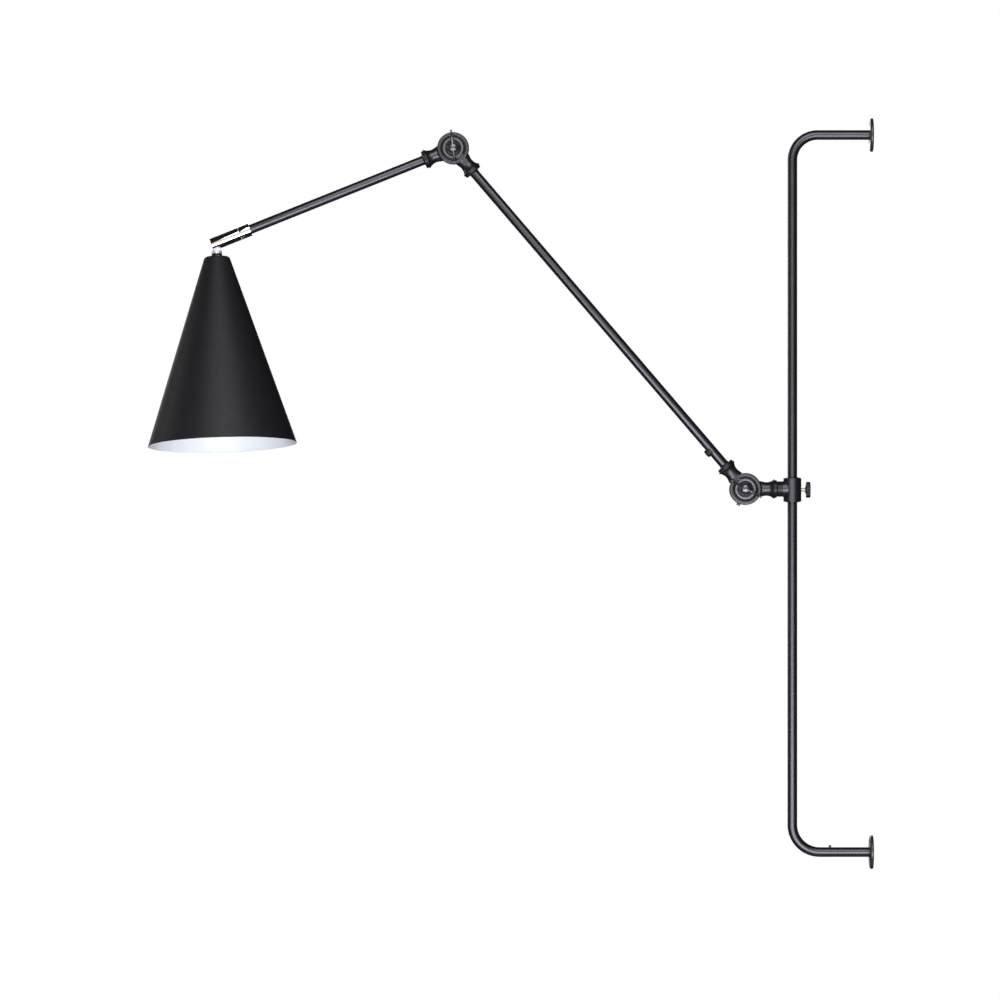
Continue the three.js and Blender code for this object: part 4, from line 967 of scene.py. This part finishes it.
class LAMP_OT_joint_castings(PieceOperator, bpy.types.Operator):
    """Casts the four joint halves with their necks"""

    bl_idname = "wall_lamp.joint_castings"
    bl_label = "Joint castings"

    def execute(self, context):
        s = in_mm("joint")
        bead, end = s.bead_radius, s.neck_length
        arm_neck = [
            (s.waist_radius, 31, 2), (bead * 0.77, 35, 2), (bead * 0.9, 37.8, 0.8),
            (bead, 39, 0.5), (bead, 40.3, 0.5), (bead * 0.87, 41.4, 0.3), (bead * 0.93, 42.2, 0.3),
            (bead * 0.93, 43, 0.4), (bead * 0.82, end, 0.3), (7.3, end), (7.3, end + 1.2, 0.4),
        ]
        base_neck = [
            (s.waist_radius, 31.5, 2), (bead * 0.77, 35.6, 2), (bead * 0.92, 38.4, 0.6),
            (bead, 39.5, 0.4), (bead, 40.3, 0.4), (bead * 0.87, 41.3, 0.3),
            (bead * 0.92, 42.1, 0.3), (bead * 0.91, 43.2, 0.5), (bead * 0.81, end, 0.3),
            (7.2, end), (7.2, end + 0.1),
        ]
        at = places()
        flip = turn(math.pi, "X")
        for name, node, place, body in (
            ("shoulder_rear_casting", "base_knuckle", at.shoulder, "carrier"),
            ("shoulder_front_casting", "lower_knuckle", at.upper_arm @ flip, "upper_arm"),
            ("elbow_front_casting", "upper_knuckle", at.arm_end @ flip, "upper_arm"),
            ("elbow_rear_casting", "forearm_knuckle", at.forearm, "forearm"),
        ):
            base = node == "base_knuckle"
            form = knuckle(base_neck if base else arm_neck, lug=base)
            piece(name, form, place, body, [node], "blackened_lacquered_cast_iron")
        return {"FINISHED"}


class LAMP_OT_bolts_and_washers(PieceOperator, bpy.types.Operator):
    """Makes each joint's cup-head bolt and the washer under its wing nut"""

    bl_idname = "wall_lamp.bolts_and_washers"
    bl_label = "Bolts and washers"

    def execute(self, context):
        s, nut = in_mm("joint"), in_mm("wing_nut")
        at = places()
        seat = s.half_depth - 0.1
        tip, crown = seat + 11.6, seat + 4.5
        for joint_name, bolt_place, bolt_body, washer_place, washer_body in (
            ("shoulder", at.shoulder, "carrier", at.shoulder, "upper_arm"),
            ("elbow", at.forearm, "forearm", at.elbow, "upper_arm"),
        ):
            bolt = turned([
                (0, -tip), (s.bolt_radius, -tip, 0.4), (s.bolt_radius, seat),
                (s.bolt_head, seat, 0.3), (s.bolt_head, seat + 1.7, 1.1),
                (s.bolt_head * 0.62, crown, 2.6), (0, crown),
            ], 80, "Y")
            piece(joint_name + "_cup_head_bolt", bolt, bolt_place, bolt_body,
                  [joint_name + "_bolt"], "blackened_lacquered_cast_iron")
            front, bore = -seat - s.washer_thickness, s.bolt_radius + 0.3
            washer = turned([
                (bore, front + 0.4), (nut.base_radius + 0.4, front + 0.4, 0.15),
                (nut.base_radius + 0.8, front - 0.1, 0.3),
                (s.washer_radius - 0.35, front - 0.1, 0.3), (s.washer_radius, front + 0.5, 0.3),
                (s.washer_radius, -seat, 0.3), (bore, -seat),
            ], WIDE, "Y", closed=True)
            piece(joint_name + "_face_washer", washer, washer_place, washer_body,
                  [joint_name + "_pressure_washer"], "rubbed_blackened_steel")
        return {"FINISHED"}


class LAMP_OT_wing_nuts(PieceOperator, bpy.types.Operator):
    """Casts the two domed wing nuts"""

    bl_idname = "wall_lamp.wing_nuts"
    bl_label = "Wing nuts"

    def execute(self, context):
        s, joint = in_mm("wing_nut"), in_mm("joint")
        at = places()
        level = joint.half_depth + 0.2 + joint.washer_thickness
        base, top, crown = s.base_radius, s.top_radius, s.side_height + s.dome_height
        # share of the wing's reach, share of its height, rounding
        outline = [
            (0.1, 0.1), (0.42, 0.12, 1), (0.62, 0.22, 2), (0.82, 0.42, 2), (0.96, 0.64, 2),
            (1, 0.88, 1.5), (0.94, 1, 1.2), (0.84, 0.99, 1), (0.72, 0.88, 2), (0.55, 0.77, 2),
            (0.36, 0.68, 1), (0.1, 0.56),
        ]
        for name, node, place, body, angle_value in (
            ("shoulder_wing_nut_casting", "shoulder_wing_nut", at.shoulder, "shoulder_nut",
             s.shoulder_turn),
            ("elbow_wing_nut_casting", "elbow_wing_nut", at.elbow, "elbow_nut", s.elbow_turn),
        ):
            boss = turned([
                (0, 9.6), (4.3, 9.6), (4.3, 0), (base, 0, 0.3), (base, 1.5, 0.5),
                (base * 0.9, 2.4, 0.5), (top * 1.05, s.side_height * 0.72, 2),
                (top * 0.93, s.side_height + 0.9, 2.2), (top * 0.55, crown - 0.7, 2.2), (0, crown),
            ], 96, "Y")
            wings = []
            for flip in (0, math.pi):
                corners = [(x * s.reach, y * s.height, *r) for x, y, *r in outline]
                flat = plate(corners, s.thickness, s.thickness * 0.3)
                wings.append(placed(flat, turn(flip, "Y") @ turn(-math.pi / 2, "X")))
            form = cast(carved(boss, union=wings), joint.voxel * 0.75, 3)
            spun = place @ move(0, -level) @ turn(-angle_value, "Y") @ turn(math.pi, "X")
            piece(name, form, spun, body, [node], "black_nickel_on_die_cast_zinc")
        return {"FINISHED"}


class LAMP_OT_arm_tubes(PieceOperator, bpy.types.Operator):
    """Draws the two arm tubes"""

    bl_idname = "wall_lamp.arm_tubes"
    bl_label = "Arm tubes"

    def execute(self, context):
        s, swivel = in_mm("arm"), in_mm("swivel")
        at, start = places(), s.tube_start
        inner, outer = s.tube_radius - s.tube_wall, s.tube_radius
        for name, node, place, body, end in (
            ("long_arm_tube", "upper_arm_tube", at.upper_arm, "upper_arm", s.upper_length - start),
            ("short_arm_tube", "forearm_tube", at.forearm, "forearm", swivel.sleeve_start + 5),
        ):
            tube = pipe(inner, outer, start, end)
            piece(name, tube, place, body, [node], "satin_powder_coat_on_steel")
        return {"FINISHED"}


class LAMP_OT_cord_outlet(PieceOperator, bpy.types.Operator):
    """Moulds the bush where the cord would leave the arm"""

    bl_idname = "wall_lamp.cord_outlet"
    bl_label = "Cord outlet"

    def execute(self, context):
        s = in_mm("arm")
        radius, height, bore = s.outlet_radius, s.outlet_height, 2.9
        form = turned([
            (bore, 3.2), (radius + 1.5, 3.2), (radius + 1.3, 5.4, 0.5), (radius + 0.1, 7, 0.8),
            (radius - 0.5, 7.7, 0.3), (radius, 8.2, 0.3), (radius, height, 0.7),
            (bore + 0.8, height, 0.5), (bore, height - 0.9, 0.3),
        ], 80, "Z", closed=True)
        form = carved(form, difference=[rod(s.tube_radius + 0.05, -20, 20)])
        place = places().upper_arm @ move(s.outlet_at) @ turn(s.outlet_turn, "X")
        piece("cord_outlet_grommet", form, place, "upper_arm", ["cord_outlet_bush"],
              "moulded_black_nylon")
        return {"FINISHED"}


class LAMP_OT_swivel(PieceOperator, bpy.types.Operator):
    """Turns the chrome sleeve, the slotted fork and the tilt pin"""

    bl_idname = "wall_lamp.swivel"
    bl_label = "Swivel"

    def execute(self, context):
        s, arm = in_mm("swivel"), in_mm("arm")
        at = places()
        start, end, radius = s.sleeve_start, s.sleeve_start + s.sleeve_length, s.radius
        seat, hole, lead, gap = arm.tube_radius + 0.05, 4.4, 2.7, 0.12
        floor, spigot = end - 7.4, hole - 0.4
        sleeve = turned([
            (seat, start), (radius, start, 0.4), (radius, end, 0.12), (hole, end, 0.1),
            (hole, floor), (seat, floor),
        ], WIDE, closed=True)
        piece("swivel_ferrule", sleeve, at.forearm, "forearm", ["swivel_sleeve"],
              "bright_chrome_plate")
        pin, tip = arm.forearm_length, arm.forearm_length + s.end
        bar = turned([
            (lead, start + 5.3), (spigot, start + 5.3, 0.2), (spigot, end + gap),
            (radius, end + gap), (radius, tip, 0.3), (lead, tip),
        ], WIDE, closed=True)
        half = s.slot_width / 2
        fork = carved(bar, difference=[
            box((pin - s.slot_behind, -half, -20), (tip + PAST, half, 20)),
            box((pin - 1.4, -20, 7.1), (tip + PAST, 20, 20)),
            placed(rod(s.pin_radius + 0.05, -7.3, 20, 48, "Y"), move(pin)),
        ])
        soften(piece("swivel_fork", fork, at.head, "swivel_head", ["swivel_body"],
                     "bright_chrome_plate"))
        near, far = -7.2, 8.6
        pivot = turned([
            (0, near), (s.pin_radius, near, 0.3), (s.pin_radius, far, 0.6), (0, far)
        ], 48, "Y")
        pivot = carved(pivot, difference=[box((-4, far - 0.8, -0.45), (4, 12, 0.45))])
        piece("tilt_pivot_screw", pivot, at.head @ move(pin), "swivel_head", ["tilt_pin"],
              "bright_chrome_plate")
        return {"FINISHED"}


class LAMP_OT_shade_stem(PieceOperator, bpy.types.Operator):
    """Makes the chrome tilt stem and the ring under it"""

    bl_idname = "wall_lamp.shade_stem"
    bl_label = "Shade stem"

    def execute(self, context):
        s = in_mm("swivel")
        place = places().shade
        half, thick = s.tongue_width / 2, s.slot_width - 0.6
        flare, foot = half + 0.75, 13
        tongue = plate([
            (-half, -half, half * 0.98), (-half, half, half * 0.98), (6.5, half, 1),
            (9, flare, 1), (foot, flare), (foot, -flare), (9, -flare, 1), (6.5, -half, 1),
        ], thick, 0.4)
        collar = turned([
            (0, 11.4), (s.stem_collar, 11.4, 0.5), (s.stem_collar, 15.35, 0.4), (0, 15.35)
        ], 96)
        hole = rod(s.pin_radius + 0.05, -9, 9, 48, "Y")
        piece("shade_stem", carved(tongue, union=[collar], difference=[hole]), place, "shade_head",
              ["tilt_stem"], "blasted_lacquered_aluminium")
        ring = turned([
            (5.1, 15.65), (s.ring_radius, 15.65, 0.5), (s.ring_radius, 17.6, 0.4),
            (s.ring_radius + 1.4, 18.6, 0.3), (s.ring_radius + 1.4, 19.05, 0.2), (5.1, 19.05),
        ], 96, closed=True)
        piece("shade_neck_ring", ring, place, "shade_head", ["neck_ring"],
              "moulded_black_nylon")
        return {"FINISHED"}


class LAMP_OT_shade(PieceOperator, bpy.types.Operator):
    """Spins the conical shade, black outside and white inside"""

    bl_idname = "wall_lamp.shade"
    bl_label = "Shade"

    def execute(self, context):
        s = in_mm("shade")
        end, hole = s.start + s.height, 5.1
        slope = (s.mouth - s.top) / s.height
        across = s.wall * math.hypot(1, slope)
        inner_top = s.top + slope * s.wall - across
        inside = s.start + s.wall
        form = turned([
            (hole, s.start), (s.top, s.start, s.shoulder), (s.mouth, end, 0.45),
            (s.mouth - across, end, 0.45), (inner_top, inside, s.shoulder - s.wall), (hole, inside),
        ], 192, closed=True)
        for face in form.faces:
            where = face.calc_center_median()
            out = (face.normal.y * where.y + face.normal.z * where.z) / math.hypot(where.y, where.z)
            face.material_index = 1 if out - face.normal.x < -0.2 and where.x > inside - 0.1 else 0
        piece("shade_cone", form, places().shade, "shade_head", ["shade"],
              "matt_powder_coat_on_spun_aluminium", "sprayed_white_reflector_enamel")
        return {"FINISHED"}


class LAMP_OT_lamp_holder(PieceOperator, bpy.types.Operator):
    """Moulds the lamp holder's cap and ribbed shell, and makes the bulb"""

    bl_idname = "wall_lamp.lamp_holder"
    bl_label = "Lamp holder and bulb"

    def execute(self, context):
        s = in_mm("shade")
        place = places().shade
        start, radius = s.cap_start, s.holder_radius
        rim = start + 11.4
        cap = turned([
            (5.1, start, 0.2), (9, start, 1.2), (radius - 0.8, start + 4.8, 2.5),
            (radius - 0.8, rim, 0.3), (radius - 2.8, rim), (radius - 2.8, start + 5),
            (8, start + 2), (5.1, start + 2),
        ], 96, closed=True)
        piece("holder_cap_moulding", cap, place, "shade_head", ["holder_cap"],
              "black_phenolic_moulding")
        low, high = rim + 0.3, rim + 0.3 + s.holder_length
        shell = turned([
            (radius - 2.3, low, 0.2), (radius, low, 0.4), (radius, low + 3, 0.2),
            (radius - 0.5, low + 3.5, 0.2), (radius - 0.5, high - 4.5, 0.2),
            (radius, high - 4, 0.2), (radius, high, 0.7), (radius - 2.3, high, 0.7),
        ], 144, closed=True)
        fluted(shell, 36, 0.35, lambda along, out: (
            low + 3.3 < along < high - 4.3 and out > radius - 1.2
        ))
        piece("holder_ribbed_shell", shell, place, "shade_head", ["holder_shell"],
              "black_phenolic_moulding")
        base, end = s.bulb_start, s.bulb_start + s.bulb_length
        neck = base + 25
        thread = [(13.1 + 0.2 * (n % 2), base + 7 + 1.6 * n, 0.4) for n in range(10)]
        screw_cap = turned([
            (0, base), (4.5, base, 0.5), (5, base + 2, 0.3), (12.2, base + 5, 1), *thread,
            (13.3, neck - 0.6, 0.2), (12.8, neck), (12.4, neck), (12.4, neck - 3), (0, neck - 3),
        ], 80)
        piece("bulb_screw_cap", screw_cap, place, "shade_head", ["bulb_cap"],
              "pressed_aluminium_cap")
        globe, middle = s.bulb_radius, end - s.bulb_radius
        glass = turned([
            (0, neck - 2), (12.2, neck - 2), (12.2, neck + 6, 5), (16, neck + 20, 10),
            (globe - 2, middle - 17, 9), (globe + 0.6, middle - 3, 9),
            (globe - 0.4, middle + 14, 9), (globe * 0.68, end - 4.5, 9),
            (globe * 0.2, end, 5), (0, end),
        ], 96)
        piece("bulb_globe", glass, place, "shade_head", ["bulb_glass"], "opal_glass")
        return {"FINISHED"}


class LAMP_OT_inner_parts(PieceOperator, bpy.types.Operator):
    """Gives the washers, nuts, contacts and leads inside the lamp their finishes"""

    bl_idname = "wall_lamp.inner_parts"
    bl_label = "Inner parts"

    def execute(self, context):
        kinds = {
            "vulcanised_fibre": ("shoulder_friction_washer", "elbow_friction_washer"),
            "glazed_steatite": ("holder_core",),
            "zinc_plated_steel": ("swivel_nut", "shade_nut", "holder_nipple"),
            "turned_brass": ("screw_shell", "centre_contact"),
            "extruded_pvc_sheath": ("upper_arm_lead", "forearm_lead", "swivel_lead", "holder_lead"),
        }
        for kind, nodes in kinds.items():
            for node in nodes:
                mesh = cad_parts[node].data
                mesh.materials.clear()
                mesh.materials.append(finish(kind))
        return {"FINISHED"}


class LAMP_OT_stage(PieceOperator, bpy.types.Operator):
    """Sets the floor, the soft lights and the camera"""

    bl_idname = "wall_lamp.stage"
    bl_label = "Stage"

    def execute(self, context):
        s = settings("stage")
        scene = context.scene
        middle = Vector((s.middle_x, 0, s.middle_z))
        form = bmesh.new()
        bmesh.ops.create_circle(form, cap_ends=True, segments=96, radius=s.floor_radius)
        bmesh.ops.translate(form, vec=(middle.x, 0, -s.floor_drop), verts=form.verts[:])
        floor = mesh_object(form, "floor")
        floor.data.materials.append(seamless_paper())

        def soft_box(name, place, target, width, height, brightness, tint=(1, 1, 1)):
            light = bpy.data.lights.new(name, "AREA")
            light.shape = "RECTANGLE"
            light.size, light.size_y, light.color = width, height, tint
            light.energy = brightness * math.pi * width * height
            away = Vector(place) - Vector(target)
            aim = away.to_track_quat("Z", "Y").to_matrix().to_4x4()
            in_scene(name, light).matrix_world = move(*place) @ aim

        # two soft boxes stand above and below the camera, and the warm room shows between them
        front, cool = -3.0, linear("#f3f7ff")
        for name, low, high, wide, level, tint in (
            ("upper_front_soft_box", 1.5, 3.9, 2.9, s.key * 1.1, cool),
            ("lower_front_soft_box", -2.1, -0.4, 3.4, s.key * 1.75, cool),
            ("room_between_soft_boxes", -0.4, 1.5, 2.9, s.key * 0.25, linear("#ffe2c4")),
        ):
            place = middle + Vector((0, front, (low + high) / 2))
            soft_box(name, place, place + Vector((0, 1, 0)), wide, high - low, level, tint)
        soft_box("left_soft_box", (-4.4, 1.2, 1.2), middle, 1.4, 2.4, s.key * 0.42)
        soft_box("rear_soft_box", (-1.7, 4.7, 1.9), middle, 3.6, 2.6, s.key * 0.55)

        world = bpy.data.worlds.new("studio")
        scene.world = world
        world.use_nodes = True
        tree = world.node_tree
        tree.nodes.clear()
        path = add(tree, "ShaderNodeLightPath")
        # metal and glass see the white backdrop where it stands, behind the lamp
        toward = add(
            tree, "ShaderNodeVectorMath",
            {0: add(tree, "ShaderNodeTexCoord").outputs["Generated"], 1: (0, 1, 0)},
            operation="DOT_PRODUCT",
        )
        behind = add(
            tree, "ShaderNodeMath", {0: toward.outputs["Value"], 1: math.cos(s.backdrop)},
            operation="GREATER_THAN",
        )
        mirrors = add(
            tree, "ShaderNodeMath",
            {0: path.outputs["Is Glossy Ray"], 1: path.outputs["Is Transmission Ray"]},
            operation="MAXIMUM",
        )
        mirrored = add(
            tree, "ShaderNodeMath", {0: mirrors.outputs[0], 1: behind.outputs[0]},
            operation="MULTIPLY",
        )
        seen = add(
            tree, "ShaderNodeMath", {0: path.outputs["Is Camera Ray"], 1: mirrored.outputs[0]},
            operation="MAXIMUM",
        )
        room = add(tree, "ShaderNodeBackground", {"Color": (1, 1, 1, 1), "Strength": s.room})
        backdrop = add(tree, "ShaderNodeBackground", {"Color": (1, 1, 1, 1), "Strength": 1.0})
        chosen = add(
            tree, "ShaderNodeMixShader",
            {0: seen.outputs[0], 1: room.outputs[0], 2: backdrop.outputs[0]},
        )
        add(tree, "ShaderNodeOutputWorld", {"Surface": chosen.outputs[0]})

        lens = bpy.data.cameras.new("photo_camera")
        lens.lens, lens.sensor_width, lens.sensor_fit = s.lens, 36, "HORIZONTAL"
        lens.clip_end = 100
        camera = in_scene("photo_camera", lens)
        camera.matrix_world = move(middle.x, -s.camera_distance, middle.z) @ turn(math.pi / 2, "X")
        scene.camera = camera
        scene.view_settings.view_transform = "Standard"
        return {"FINISHED"}


OPERATORS = (
    LAMP_OT_rail_tube, LAMP_OT_wall_flanges, LAMP_OT_leg_screw, LAMP_OT_collar, LAMP_OT_thumbscrew,
    LAMP_OT_joint_castings, LAMP_OT_bolts_and_washers, LAMP_OT_wing_nuts, LAMP_OT_arm_tubes,
    LAMP_OT_cord_outlet, LAMP_OT_swivel, LAMP_OT_shade_stem, LAMP_OT_shade, LAMP_OT_lamp_holder,
    LAMP_OT_inner_parts, LAMP_OT_stage,
)


class LAMP_PT_panel(bpy.types.Panel):
    """Lists the lamp's pieces and their sizes"""

    bl_label = "Wall lamp"
    bl_idname = "LAMP_PT_panel"
    bl_space_type = "VIEW_3D"
    bl_region_type = "UI"
    bl_category = "Wall lamp"

    def draw(self, context):
        for operator in OPERATORS:
            self.layout.operator(operator.bl_idname)
        for name, group in GROUPS.items():
            part = self.layout.box()
            part.label(text=group.__doc__)
            for key in group.__annotations__:
                part.prop(settings(name), key)


def register():
    for group in GROUPS.values():
        bpy.utils.register_class(group)
    for name, group in GROUPS.items():
        setattr(bpy.types.Scene, "wall_lamp_" + name, bpy.props.PointerProperty(type=group))
    for cls in (*OPERATORS, LAMP_PT_panel):
        bpy.utils.register_class(cls)


def unregister():
    for cls in reversed((*OPERATORS, LAMP_PT_panel)):
        bpy.utils.unregister_class(cls)
    for name in GROUPS:
        delattr(bpy.types.Scene, "wall_lamp_" + name)
    for group in reversed(GROUPS.values()):
        bpy.utils.unregister_class(group)


def main():
    register()
    for operator in OPERATORS:
        group, name = operator.bl_idname.split(".")
        getattr(getattr(bpy.ops, group), name)()


if __name__ == "__main__":
    main()
